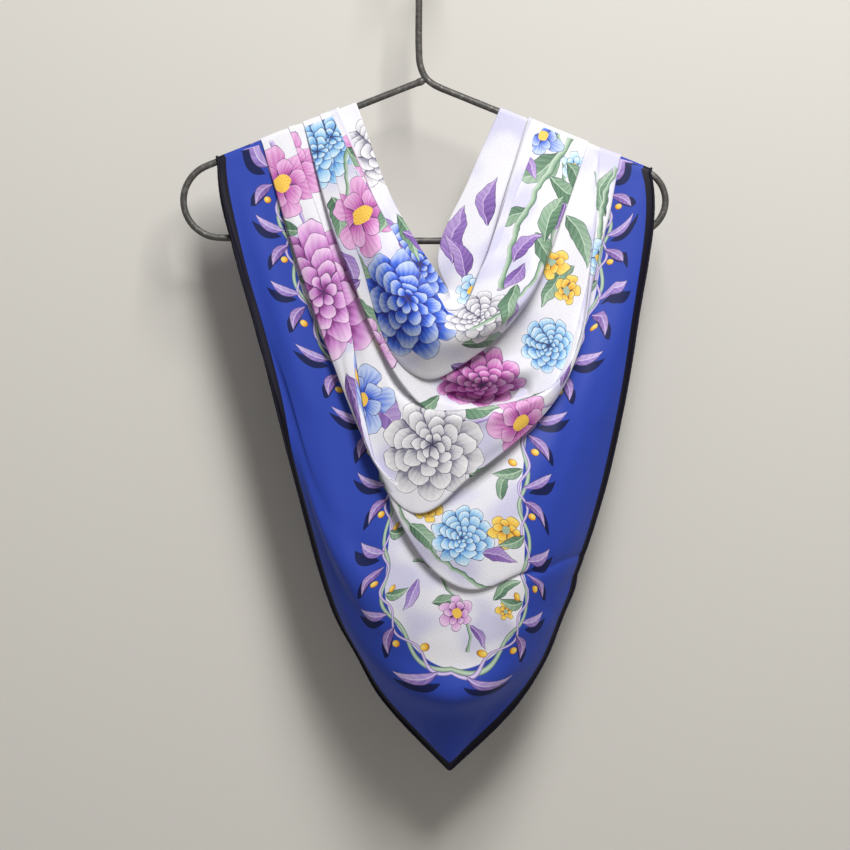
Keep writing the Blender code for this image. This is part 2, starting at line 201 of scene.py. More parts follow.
def surface(stretch):
    """A stretch's points, in rows from its first line up and columns from left to right."""
    lines = np.array([line_points(line) for line in stretch.lines])
    steps = [stretch.rows] * (len(lines) - 1)
    grid = np.array([curve_through(lines[:, i], steps) for i in range(lines.shape[1])])
    grid = grid.transpose(1, 0, 2)
    for i, (line, following) in enumerate(zip(stretch.lines, stretch.lines[1:])):
        share = np.linspace(0, 1, stretch.rows + 1)[:, None]
        rows = slice(i * stretch.rows, (i + 1) * stretch.rows + 1)
        for column, ends in ((0, (line.left, following.left)), (-1, (line.right, following.right))):
            if len(ends[0]) == len(ends[1]) == 2:
                start, end = lines[i, column], lines[i + 1, column]
                grid[rows, column] = start + (end - start) * share
    return grid


CORNER_COLUMNS = 34                 # how many columns in from the hem the corner reaches
CORNERED = {LEFT: 0.75, RIGHT: 0.35}    # how sharp it is, from 0 to 1


def with_corner(stretch, grid, line_number, side):
    """The grid with a true corner where the hem meets the arm, instead of a smooth bend."""
    lines = np.array([line_points(line) for line in stretch.lines])
    last = len(lines) - 1
    below = [curve_through(lines[:line_number + 1, i], [stretch.rows] * line_number)
             for i in range(lines.shape[1])]
    above = [curve_through(lines[line_number:, i], [stretch.rows] * (last - line_number))
             for i in range(lines.shape[1])]
    cornered = np.concatenate((np.array(below), np.array(above)[:, 1:]), axis=1).transpose(1, 0, 2)
    away = np.arange(grid.shape[1])[::1 if side == LEFT else -1] / CORNER_COLUMNS
    weight = CORNERED[side] * (1 - np.clip(away, 0, 1)) ** 2
    return grid + (cornered - grid) * weight[None, :, None]


def arm_rows(stretch, side):
    """Which rows of a stretch end on an arm, and each row's place along the arm."""
    ends = [line.left if side == LEFT else line.right for line in stretch.lines]
    first = next(i for i, end in enumerate(ends) if len(end) == 2)
    marks = np.arange(first, len(ends)) * stretch.rows
    rows = np.arange(marks[0], marks[-1] + 1)
    return rows, np.interp(rows, marks, [end[0] for end in ends[first:]])


# %% Make the stretches
grids = {stretch.name: surface(stretch) for stretch in STRETCHES}
CORNER_STRETCH = {LEFT: "blue_hem_panel", RIGHT: "outer_band"}
EDGE_COLUMN = {LEFT: 0, RIGHT: -1}
ARM_ROW = {side: arm_rows(STRETCH[name], side)[0][0] for side, name in CORNER_STRETCH.items()}
for side, name in CORNER_STRETCH.items():
    stretch = STRETCH[name]
    on_arm = slice(ARM_ROW[side], None), EDGE_COLUMN[side]
    arm_edge = grids[name][on_arm].copy()
    grids[name] = with_corner(stretch, grids[name], ARM_ROW[side] // stretch.rows, side)
    grids[name][on_arm] = arm_edge
for name, grid in grids.items():
    print(f"{name}: {grid.shape[0]} rows of {grid.shape[1]} points")

# %% [markdown]
# ## Pleats that close
# Three of the pleats are only open on one half of their way. On the other half their layers
# are pulled tight on each other, and the step between them can hardly be seen. There the
# upper layer is laid back onto the lower one, with the thickness of the silk between them.

# %% Close the pleats where the cloth is taut
TOUCH = 0.45        # silk on silk, in millimetres
NEAR = 8.0          # an edge is laid back only where the cloth below is as near as this
EVEN = 9            # the shift is evened out over this many columns
COWL_CLEAR = 1.7    # the neckline band stays this far behind the cowl on the left
Closed = namedtuple("Closed", "moved still row_still full faded")
CLOSED = (
    Closed("lower_swag", "outer_band", None, 42, 60),
    Closed("cowl_swag", "middle_band", None, 46, 58),
    Closed("middle_band", "lower_swag", -1, 134, 116),
)
for closed in CLOSED:
    moved, still = grids[closed.moved], grids[closed.still]
    columns = np.arange(moved.shape[1])
    weight = np.clip((columns - closed.faded) / (closed.full - closed.faded), 0, 1)
    weight = weight * weight * (3 - 2 * weight)
    targets = still[closed.row_still][None] if closed.row_still is not None else still[::2]
    targets = targets.reshape(-1, 3)
    edge = moved[0]
    aside = np.hypot(edge[:, None, 0] - targets[:, 0], edge[:, None, 2] - targets[:, 2])
    level = targets[aside.argmin(axis=1), 1]
    ahead = TOUCH if closed.row_still is None else -TOUCH
    shift = np.where(aside.min(axis=1) < NEAR, level - ahead - edge[:, 1], 0) * weight
    shift = np.convolve(np.pad(shift, EVEN // 2, mode="edge"), np.ones(EVEN) / EVEN, mode="valid")
    shift[0] = shift[-1] = 0
    grids[closed.moved] = moved + np.array((0, 1, 0)) * shift[None, :, None]
    print(f"{closed.moved}: laid back by up to {np.abs(shift).max():.1f} mm")
under = grids["neckline_band"]
by_row = np.interp(np.arange(under.shape[0]), (8, 15), (1, 0))
by_column = np.interp(np.arange(under.shape[1]), (3, 9, 42, 54), (0, 1, 1, 0))
under[..., 1] += COWL_CLEAR * by_row[:, None] * by_column

# %% [markdown]
# ## Creases
# Silk twill is soft but springy: it keeps a few long shallow folds that start where the cloth
# is gathered on the arms, and it stays smooth between them. Each crease here is a short
# route on one stretch, raised or sunk by a bell-shaped profile that fades at both ends.
# Placing them one by one gives the uneven look of real cloth, which a noise would not.

# %% Soft ridges and troughs
Crease = namedtuple("Crease", "stretch route width height")
CREASES = (
    Crease("blue_hem_panel", ((-160, -232), (-132, -330), (-98, -440)), 9, 1.6),
    Crease("blue_hem_panel", ((-150, -300), (-118, -420), (-70, -540)), 12, -1.8),
    Crease("blue_hem_panel", ((-96, -450), (-66, -560), (-30, -622)), 11, 1.8),
    Crease("blue_hem_panel", ((60, -602), (84, -622), (112, -612)), 9, 1.6),
    Crease("outer_band", ((-132, -208), (-104, -300), (-78, -400)), 6, 1.2),
    Crease("outer_band", ((-40, -500), (0, -548), (52, -566)), 9, 1.8),
    Crease("outer_band", ((186, -236), (172, -330), (150, -450)), 10, 1.6),
    Crease("outer_band", ((160, -240), (146, -350), (120, -470), (84, -540)), 9, -1.8),
    Crease("outer_band", ((96, -400), (84, -470), (52, -540)), 12, 1.8),
    Crease("lower_swag", ((-6, -438), (54, -443), (112, -418)), 6, 2.2),
    Crease("lower_swag", ((0, -462), (50, -480), (100, -440)), 5, -1.0),
    Crease("middle_band", ((-2, -416), (44, -404), (92, -352)), 8, 1.6),
    Crease("middle_band", ((12, -417), (52, -424), (92, -416)), 6, -22),
    Crease("middle_band", ((14, -403), (54, -408), (98, -396)), 8, 9),
    Crease("neckline_band", ((-74, -186), (-56, -250), (-34, -300)), 7, 1.6),
    Crease("neckline_band", ((-66, -180), (-44, -246), (-12, -306)), 6, -1.2),
)


def distance_to_route(x, z, route):
    """How far each point is from a route, and how far along the route it lies, from 0 to 1."""
    route = np.array(route, float)
    lengths = np.linalg.norm(np.diff(route, axis=0), axis=1)
    passed = np.concatenate(((0.0,), np.cumsum(lengths)))
    best = np.full(x.shape, 1e9)
    along = np.zeros(x.shape)
    for start, end, length, before in zip(route, route[1:], lengths, passed):
        step = (end - start) / length
        share = (x - start[0]) * step[0] + (z - start[1]) * step[1]
        share = np.clip(share, 0, length)
        gap = np.hypot(x - start[0] - step[0] * share, z - start[1] - step[1] * share)
        along = np.where(gap < best, (before + share) / passed[-1], along)
        best = np.minimum(gap, best)
    return best, along


def outward(grid):
    """The unit normals of a grid, pointing out of its printed side."""
    normal = np.cross(np.gradient(grid, axis=1), np.gradient(grid, axis=0))
    return normal / np.maximum(np.linalg.norm(normal, axis=-1, keepdims=True), 1e-9)


CREASE_ENDS = 0.6       # how bluntly a crease fades at its two ends
EDGE_FADE = 0.06        # creases also fade over this share of a line at each arm or hem


def creased(name, grid):
    """A stretch with its own creases raised or sunk."""
    x, z = grid[..., 0], grid[..., 2]
    lift = np.zeros(x.shape)
    for crease in CREASES:
        if crease.stretch == name:
            gap, along = distance_to_route(x, z, crease.route)
            bell = np.exp(-(gap / crease.width) ** 2)
            lift += crease.height * bell * np.sin(np.pi * along) ** CREASE_ENDS
    share = np.linspace(0, 1, lift.shape[1])[None, :]
    edge = np.minimum(np.minimum(share, share[:, ::-1]) / EDGE_FADE, 1)
    return grid + outward(grid) * (lift * edge)[..., None]


for name in grids:
    grids[name] = creased(name, grids[name])
print(len(CREASES), "creases")

# The lip of the lower swag rolls backwards a little, over its last rows.
LIP_ROWS, LIP_DEPTH = 8, 4.5
curl = np.linspace(0, 1, LIP_ROWS)[:, None] ** 2 * np.sin(np.linspace(0, np.pi, COLUMNS)) ** 0.5
grids["lower_swag"][-LIP_ROWS:, :, 1] += LIP_DEPTH * curl

# The bands on the right shoulder are ironed softer than the lines alone would make them.
SOFT_FROM, SOFT_OVER, SOFT_PASSES = 112, 12, 60     # columns, columns, times
right = np.clip((np.arange(COLUMNS) - SOFT_FROM) / SOFT_OVER, 0, 1)[None, :, None]
for _ in range(SOFT_PASSES):
    band = grids["cowl_swag"]
    around = (band[:-2] + band[2:]) / 2
    band[1:-1] += (around - band[1:-1]) * right * 0.5

# %% [markdown]
# ## Unrolling the cloth for its print
# A print is made on the flat square, before the cloth is draped. So each point of the drape
# needs its place on the flat square. Cloth hardly stretches, so the right places keep every
# short distance. Blender's unwrap with the least stretch finds them for one stretch at a
# time, and a rotation then lays each stretch where it belongs on the square. Places are
# counted from the corner that hangs lowest: first the distance from the left edge, then the
# distance from the right edge.

# %% Where the arms lie on the flat square
SQUARE = 900.0
FOLD_HALF = 215.0       # half of the folded edge that shows as the neckline
PLEAT_SHARES = {LEFT: (1.7, 1.0, 1.0, 0.7, 0.6), RIGHT: (2.9, 0.9, 0.9, 0.7)}   # hidden cloth


def path_length(points):
    """How far along a line of points each point lies."""
    return np.concatenate(((0.0,), np.cumsum(np.linalg.norm(np.diff(points, axis=0), axis=1))))


hem_left = path_length(grids["blue_hem_panel"][:ARM_ROW[LEFT] + 1, 0])
hem_right_low = path_length(grids["blue_hem_panel"][:, -1])
hem_right_high = hem_right_low[-1] + path_length(grids["outer_band"][:ARM_ROW[RIGHT] + 1, -1])
HEM_FLAT = {LEFT: np.array((0.0, hem_left[-1])), RIGHT: np.array((hem_right_high[-1], 0.0))}
fold_share = (SQUARE / 2 - FOLD_HALF / math.sqrt(2)) / SQUARE
NECK_FLAT = {LEFT: np.array((fold_share, 1 - fold_share)) * SQUARE,
             RIGHT: np.array((1 - fold_share, fold_share)) * SQUARE}
print(f"hem from the point to the arms: {hem_left[-1]:.0f} and {hem_right_high[-1]:.0f} mm")


def arm_places(side):
    """For each stretch that ends on an arm: its rows there and their flat places."""
    ending = [s for s in STRETCHES if side == LEFT or s.name != "blue_hem_panel"]
    along = {s.name: arm_rows(s, side) for s in ending}
    whole = np.linalg.norm(NECK_FLAT[side] - HEM_FLAT[side])
    spare = whole - sum(np.ptp(places) for _, places in along.values())
    hides = np.array(PLEAT_SHARES[side])
    hides = [0, *(spare * hides / hides.sum())]
    found, start = {}, 0.0
    for hidden, (name, (rows, places)) in zip(hides, along.items()):
        distance = start + hidden + np.abs(places - places[0])
        found[name] = (rows, HEM_FLAT[side] + (NECK_FLAT[side] - HEM_FLAT[side])
                       * (distance / whole)[:, None])
        start = distance[-1]
    print("pleats hide", [round(float(h)) for h in hides[1:]], "mm")
    return found


ARM_PLACES = {side: arm_places(side) for side in (LEFT, RIGHT)}


# %% Unroll each stretch and lay it on the square
ROW_STEP, COLUMN_STEP = 2, 3        # the net takes every second row and every third column
DEPTH_SHARE = (1, 0.3, 1)           # depths count less where two stretches are matched


def net_mesh(name, net):
    """A mesh of a net of points, without slivers, for the unwrap."""
    rows, columns = net.shape[:2]
    number = np.arange(rows * columns).reshape(rows, columns)
    corners = (number[:-1, :-1], number[:-1, 1:], number[1:, 1:], number[1:, :-1])
    mesh = bpy.data.meshes.new(name)
    quads = np.stack([corner.ravel() for corner in corners], axis=1)
    mesh.from_pydata(net.reshape(-1, 3).tolist(), [], quads.tolist())
    clean = bmesh.new()
    clean.from_mesh(mesh)
    bmesh.ops.remove_doubles(clean, verts=clean.verts, dist=0.4)
    bmesh.ops.triangulate(clean, faces=clean.faces, quad_method="SHORT_EDGE")
    bmesh.ops.dissolve_degenerate(clean, edges=clean.edges, dist=0.05)
    clean.to_mesh(mesh)
    clean.free()
    mesh.uv_layers.new(name="flat")
    return mesh


def unwrap(mesh):
    """The flat place of each vertex, in the mesh's own lengths."""
    pattern = bpy.data.objects.new(mesh.name, mesh)
    bpy.context.scene.collection.objects.link(pattern)
    bpy.ops.object.select_all(action="DESELECT")
    bpy.context.view_layer.objects.active = pattern
    pattern.select_set(True)
    bpy.ops.object.mode_set(mode="EDIT")
    bpy.ops.mesh.select_all(action="SELECT")
    bpy.ops.uv.unwrap(method="MINIMUM_STRETCH", fill_holes=False, correct_aspect=False,
                      iterations=40, no_flip=True, margin=0.0)
    bpy.ops.object.mode_set(mode="OBJECT")
    loops, edges = np.empty(len(mesh.loops), int), np.empty(len(mesh.edges) * 2, int)
    uv, place = np.empty(len(mesh.loops) * 2), np.empty(len(mesh.vertices) * 3)
    mesh.loops.foreach_get("vertex_index", loops)
    mesh.uv_layers["flat"].data.foreach_get("uv", uv)
    mesh.edges.foreach_get("vertices", edges)
    mesh.vertices.foreach_get("co", place)
    place, edges = place.reshape(-1, 3), edges.reshape(-1, 2)
    flat = np.zeros((len(place), 2))
    flat[loops] = uv.reshape(-1, 2)
    true = np.linalg.norm(place[edges[:, 0]] - place[edges[:, 1]], axis=1)
    drawn = np.linalg.norm(flat[edges[:, 0]] - flat[edges[:, 1]], axis=1)
    scale = true.sum() / drawn.sum()
    error = np.abs(drawn * scale / np.maximum(true, 1e-6) - 1)[true > 2]
    print(f"{mesh.name}: half of the edges are within {np.median(error):.1%} of their length, "
          f"nine tenths within {np.percentile(error, 90):.1%}")
    bpy.data.objects.remove(pattern)
    return place, flat * scale


def lay(flat, wanted):
    """Turn and shift flat places so that they lie as near as they can to the wanted ones."""
    middle, goal = flat.mean(axis=0), wanted.mean(axis=0)
    u, _, v = np.linalg.svd((flat - middle).T @ (wanted - goal))
    return (flat - middle) @ u @ v + goal


def end_flats(stretch, side):
    """Where a stretch's outermost column should be on the square: on a hem or at an arm."""
    flat = np.zeros((grids[stretch.name].shape[0], 2))
    hem = ()
    if stretch.name == "blue_hem_panel":
        hem = hem_left if side == LEFT else hem_right_low
    elif stretch.name == "outer_band" and side == RIGHT:
        hem = hem_right_high
    flat[:len(hem), 1 if side == LEFT else 0] = hem
    if stretch.name in ARM_PLACES[side]:
        rows, places = ARM_PLACES[side][stretch.name]
        flat[rows] = places
    return flat


def nearest(points, targets):
    """For each point, the number of the nearest target and its distance."""
    best, number = np.full(len(points), 1e9), np.zeros(len(points), int)
    for start in range(0, len(points), 400):
        part = slice(start, start + 400)
        gap = np.linalg.norm(points[part, None] - targets[None], axis=2)
        number[part], best[part] = gap.argmin(axis=1), gap.min(axis=1)
    return number, best


def flat_places(stretch):
    """The flat place of each point of a stretch: unrolled on a net, then refined."""
    net = grids[stretch.name][::ROW_STEP, ::COLUMN_STEP]
    place, flat = unwrap(net_mesh(stretch.name, net))
    number, _ = nearest(net.reshape(-1, 3), place)
    flat = flat[number].reshape(*net.shape[:2], 2)
    wanted = np.stack([end_flats(stretch, side)[::ROW_STEP] for side in (LEFT, RIGHT)], axis=1)
    ends = np.concatenate((flat[:, (0, -1)].reshape(-1, 2), flat.reshape(-1, 2)))
    laid = lay(ends[:2 * len(net)], wanted.reshape(-1, 2))
    turned = np.linalg.lstsq(np.c_[ends[:2 * len(net)], np.ones(2 * len(net))], laid, rcond=None)[0]
    flat = flat @ turned[:2] + turned[2]
    flat = np.array([curve_through(row, [COLUMN_STEP] * (flat.shape[1] - 1)) for row in flat])
    flat = flat.transpose(1, 0, 2)
    flat = np.array([curve_through(column, [ROW_STEP] * (flat.shape[1] - 1)) for column in flat])
    return flat.transpose(1, 0, 2)


# %% Match the print across two folds
flats = {stretch.name: flat_places(stretch) for stretch in STRETCHES}
for moved, still, columns in (("lower_swag", "outer_band", slice(4, 44)),
                              ("cowl_swag", "middle_band", slice(4, 46))):
    edge = grids[moved][0, columns]
    number, _ = nearest(edge * DEPTH_SHARE, grids[still][::2].reshape(-1, 3) * DEPTH_SHARE)
    wanted = flats[still][::2].reshape(-1, 2)[number]
    have = flats[moved][0, columns]
    laid = lay(have, wanted)
    turned = np.linalg.lstsq(np.c_[have, np.ones(len(have))], laid, rcond=None)[0]
    flats[moved] = flats[moved] @ turned[:2] + turned[2]
    gap = np.linalg.norm(laid - wanted, axis=1).mean()
    print(f"{moved}: its print meets that of {still} within {gap:.0f} mm")

# %% [markdown]
# ## One sheet from all the stretches
# The stretches are joined into one sheet, row by row. Between two stretches the real cloth
# makes a pleat: it turns round behind the fold in a small soft roll and runs back up to the
# hidden end of the stretch below. A knife-sharp edge would look like paper, so each fold gets
# a half-round roll. The roll is smaller where the layers are pressed together on the arms.

# %% Rolls and pleats
ROLL_MOST = 2.6         # radius of the roll at a free fold
ROLL_LEAST = 0.3        # radius where the fold is pressed on an arm
ROLL_PARTS = 5
PLEAT_PARTS = 5
PLEAT_ROWS = ROLL_PARTS + PLEAT_PARTS - 1      # all the rows between two stretches
MIDDLE_COLUMN = COLUMNS // 2


def smooth_columns(values, times):
    """Values evened out with their neighbours, some times over."""
    for _ in range(times):
        values = np.convolve(np.pad(values, 1, mode="edge"), (0.25, 0.5, 0.25), mode="valid")
    return values


def roll_radius(fold, below):
    """The roll that fits between a fold and the stretch below it, for each column."""
    gap = np.min(np.linalg.norm(fold[:, None] - below.reshape(1, -1, 3)[:, ::3], axis=2), axis=1)
    radius = smooth_columns(np.clip(0.3 * gap, ROLL_LEAST, ROLL_MOST), 6)
    radius[:3] = radius[-3:] = ROLL_LEAST
    return smooth_columns(radius, 2)


def pleat(upper, below):
    """Rows from the hidden end of one stretch, round the roll, up to the fold of the next."""
    fold = upper[0]
    radius = roll_radius(fold, below)[:, None]
    ahead = fold - upper[1]
    ahead /= np.maximum(np.linalg.norm(ahead, axis=1, keepdims=True), 1e-9)
    front = outward(upper)[0]
    rows = []
    for turn in np.radians(np.linspace(180, 180 / ROLL_PARTS, ROLL_PARTS)):
        rows.append(fold + radius * (ahead * np.sin(turn) - front * (1 - np.cos(turn))))
    hidden_end = below[-1]
    steps = [(share, share ** 8, share) for share in np.arange(1, PLEAT_PARTS) / PLEAT_PARTS]
    return [hidden_end + (rows[0] - hidden_end) * np.array(step) for step in steps] + rows


# %% Join the rows
sheet_rows, flat_rows, first_row = [], [], {}
for number, stretch in enumerate(STRETCHES):
    if number:
        below = STRETCHES[number - 1].name
        turned = pleat(grids[stretch.name], grids[below])
        beside = np.linalg.norm(turned[-1][MIDDLE_COLUMN] - grids[stretch.name][0, MIDDLE_COLUMN])
        fold = flats[stretch.name][0]
        away = fold - flats[stretch.name][1]
        away /= np.maximum(np.linalg.norm(away, axis=1, keepdims=True), 1e-9)
        for i, row in enumerate(turned):
            sheet_rows.append(row)
            flat_rows.append(fold + away * beside * (len(turned) - i))
    first_row[stretch.name] = len(sheet_rows)
    sheet_rows.extend(grids[stretch.name])
    flat_rows.extend(flats[stretch.name])
sheet, sheet_flat = np.array(sheet_rows), np.array(flat_rows)

# Towards the right hem two of the folds are pulled flat, from one column to another.
Faded = namedtuple("Faded", "stretch full start rows")
FADE_PASSES, FADE_EDGE = 90, 1.5
for faded in (Faded("outer_band", 104, 84, 13), Faded("middle_band", 146, 128, 9)):
    middle = first_row[faded.stretch] - PLEAT_PARTS + 1
    columns = np.clip((np.arange(COLUMNS) - faded.start) / (faded.full - faded.start), 0, 1)
    away = np.abs(np.arange(len(sheet)) - middle) / faded.rows
    rows = np.clip(FADE_EDGE - away * FADE_EDGE, 0, 1)
    weight = (0.5 * rows[:, None] * columns[None] ** 2)[..., None]
    for _ in range(FADE_PASSES):
        around = (np.roll(sheet, 1, axis=0) + np.roll(sheet, -1, axis=0)) / 2
        sheet = sheet + (around - sheet) * weight
print("the front half:", sheet.shape[0], "rows of", sheet.shape[1], "points")

# %% [markdown]
# ## Over the arms and down behind
# Beyond each arm the cloth goes on: it bends over the rod, and its corner falls behind in a
# slim tail whose pleats open a little on the way down. The tail takes the very rows that
# reach the arm, so its pleats are the same pleats.

# %% The two tails
TAIL_DROP = 372         # how far the corner falls below the arm
TAIL_LEAN = 48          # how far it hangs towards the middle
TAIL_SWING = 34         # how far its inner edge bows out on the way
SWING_LOW = 1.3         # above 1, the bow is widest below the middle
FLUTES = 3
FLUTE_DEPTH = 20
FLUTE_START = 0.4       # the flutes are fully open at this share of the drop
FLUTE_TAPER = 1.3
WRAP = np.radians((20, 42, 66, 90, 115, 140, 160, 180))
DOWN = np.linspace(0, 1, 34)[1:]
TAIL_FIRST = {side: first_row[name] + ARM_ROW[side] for side, name in CORNER_STRETCH.items()}


def tail(side):
    """The columns beyond one arm, as (rows, columns, 3), and their flat places."""
    column = EDGE_COLUMN[side]
    edge = sheet[TAIL_FIRST[side]:, column]
    along = (side * edge[:, 0] - side * ARM_START_X) / math.cos(ARM_SLOPE[side])
    radius = -edge[:, 1]
    share = np.abs(along[0] - along) / np.abs(along[0] - along[-1])
    axis = np.stack([arm_point(side, a) for a in along])
    axis = np.stack([axis[:, 0], np.zeros(len(axis)), axis[:, 1]], axis=1)
    up = np.array((side * math.sin(ARM_SLOPE[side]), 0, math.cos(ARM_SLOPE[side])))
    back, inward = np.array((0, 1.0, 0)), np.array((-side, 0, 0))
    columns = [axis + radius[:, None] * (math.sin(turn) * up - math.cos(turn) * back)
               for turn in WRAP]
    middle = (axis[0] + axis[-1]) / 2
    corner = middle + inward * TAIL_LEAN - np.array((0, 0, TAIL_DROP))
    wave = 0.5 - 0.5 * np.cos(2 * np.pi * FLUTES * share)
    for down in DOWN:
        swing = TAIL_SWING * math.sin(math.pi * down ** SWING_LOW)
        opened = min(down / FLUTE_START, 1)
        flute = FLUTE_DEPTH * opened ** 2 * (3 - 2 * opened) * (1 - down) ** FLUTE_TAPER
        place = axis + (corner - axis) * down + share[:, None] * swing * inward
        lift = REST + (radius - REST) * (1 - down) + wave * flute
        columns.append(place + lift[:, None] * back)
    points = np.stack(columns, axis=1)
    arm = sheet_flat[TAIL_FIRST[side]:, column]
    onward = arm - sheet_flat[TAIL_FIRST[side]:, column - 3 * side]
    onward /= np.maximum(np.linalg.norm(onward, axis=1, keepdims=True), 1e-9)
    travel = np.concatenate((WRAP * REST, math.pi * REST + TAIL_DROP * DOWN))
    return points, arm[:, None] + onward[:, None] * travel[None, :, None]


tails = {side: tail(side) for side in (LEFT, RIGHT)}
for side, (points, _) in tails.items():
    print(f"a tail falls to z = {points[..., 2].min():.0f} mm, "
          f"and stands off by {points[..., 1].max():.0f} mm")

# %% [markdown]
# ## From rows to a mesh
# A grid of points becomes quads between neighbours. The tails share their first points with
# the sheet, so the cloth is one surface. The flat place of each point is kept as a UV map,
# which the print reads later. The second half of the folded square lies just behind the
# first, a little further at the hems, where two rolled hems must lie one behind the other.

# %% Build the two halves
NECK_ROLL = 0.66        # radius of the fold at the neckline
NECK_TURNS = np.radians((45, 90, 135, 180))
BACK_GAP = 0.75         # from the front half to the back half
BACK_HEM_GAP = 2.6      # the same where two rolled hems lie one behind the other
HEM_SPREAD = 15         # from the hem to where the two halves lie close again
HIDDEN_GAP = 0.12       # the same inside a pleat


def whole():
    """Points and flat places of one half of the square, its blocks, and the neckline's row."""
    points, flat = list(sheet.reshape(-1, 3)), list(sheet_flat.reshape(-1, 2))
    rows, columns = sheet.shape[:2]
    number = np.arange(rows * columns).reshape(rows, columns)
    blocks = [number]
    for side, (more, more_flat) in tails.items():
        start = len(points)
        points.extend(more.reshape(-1, 3))
        flat.extend(more_flat.reshape(-1, 2))
        block = start + np.arange(more.shape[0] * more.shape[1]).reshape(more.shape[:2])
        edge = number[TAIL_FIRST[side]:, EDGE_COLUMN[side]]
        block = np.concatenate((edge[:, None], block), axis=1)
        blocks.append(block[:, ::-1] if side == LEFT else block)
    neck = np.concatenate((blocks[1][-1][:-1], number[-1], blocks[2][-1][1:]))
    return np.array(points), np.array(flat), blocks, neck


def quads(block):
    """The quads between the neighbours of a block of point numbers."""
    a, b, c, d = block[:-1, :-1], block[:-1, 1:], block[1:, 1:], block[1:, :-1]
    return np.stack([a.ravel(), b.ravel(), c.ravel(), d.ravel()], axis=1)


def point_normals(points, faces):
    """The unit normal of each point, from the quads around it."""
    normal = np.zeros_like(points)
    side = np.cross(points[faces[:, 2]] - points[faces[:, 0]],
                    points[faces[:, 3]] - points[faces[:, 1]])
    for k in range(4):
        np.add.at(normal, faces[:, k], side)
    return normal / np.maximum(np.linalg.norm(normal, axis=1, keepdims=True), 1e-9)


# %% Printing screens
# One material with the whole print would be too heavy, so the faces are shared out between
# several, as a printer shares a design out between screens.
SPLITS = (("outer_band", 34, "outer_fold"), ("outer_fold", 84, "outer_right"),
          ("middle_band", 84, "middle_right"), ("cowl_swag", 78, "cowl_right"))     # by column
SCREENS = [*STRETCH, *[split[2] for split in SPLITS], "tail_left", "tail_right"]


def screens_of(mesh):
    """Which printing screen each face belongs to: by its stretch, or the tails."""
    first = np.empty(len(mesh.polygons), int)
    mesh.polygons.foreach_get("loop_start", first)
    corner = np.empty(len(mesh.loops), int)
    mesh.loops.foreach_get("vertex_index", corner)
    row, column = corner[first] // COLUMNS, corner[first] % COLUMNS
    starts = [max(first_row[name] - PLEAT_ROWS - 1, 0) for name in STRETCH]
    screen = np.searchsorted(starts, row, side="right") - 1
    for name, split, beyond in SPLITS:
        screen[(screen == SCREENS.index(name)) & (column >= split)] = SCREENS.index(beyond)
    on_tail = corner[first] >= sheet[..., 0].size
    beyond = corner[first] >= sheet[..., 0].size + tails[LEFT][0][..., 0].size
    return np.where(on_tail, SCREENS.index("tail_left") + beyond, screen)


# %% The cloth as an object
WELL_IN = 110           # from here on a place is printed by its distance along the hem
BLEND_IN = 60           # and the change to it is spread over this


def add_cloth(name, points, flat, border, faces):
    """One half of the square as an object, with its flat places and its border distances."""
    mesh = bpy.data.meshes.new(name)
    tidy = [tuple(dict.fromkeys(face)) for face in faces.tolist()]
    mesh.from_pydata((points * MM).tolist(), [], [face for face in tidy if len(face) > 2])
    layer = mesh.uv_layers.new(name="flat")
    corner = np.empty(len(mesh.loops), int)
    mesh.loops.foreach_get("vertex_index", corner)
    layer.data.foreach_set("uv", (flat[corner] / SQUARE).ravel())
    count, start = np.empty(len(mesh.polygons), int), np.empty(len(mesh.polygons), int)
    mesh.polygons.foreach_get("loop_total", count)
    mesh.polygons.foreach_get("loop_start", start)
    nearer = np.add.reduceat(border[corner, 0] - border[corner, 1], start) < 0
    nearer = np.repeat(nearer, count)
    values = np.zeros((len(corner), 3))
    for k, side in ((0, nearer), (1, ~nearer)):
        across, up, along = border[corner, k], border[corner, 1 - k], border[corner, 2 + k]
        sure = np.clip((up - WELL_IN) / BLEND_IN, 0, 1)
        values[side, k] = across[side]
        values[side, 1 - k] = (up + (along - up) * sure * sure * (3 - 2 * sure))[side]
    distances = mesh.attributes.new("border", "FLOAT_VECTOR", "CORNER")
    distances.data.foreach_set("vector", values.ravel())
    mesh.polygons.foreach_set("material_index", screens_of(mesh))
    mesh.polygons.foreach_set("use_smooth", np.ones(len(mesh.polygons), bool))
    piece = bpy.data.objects.new(name, mesh)
    bpy.context.scene.collection.objects.link(piece)
    return piece


# %% Distances from the hems, for the border
INSIDE = 300.0          # a distance from the edges that is well inside the border
HEM_PASSES = 70


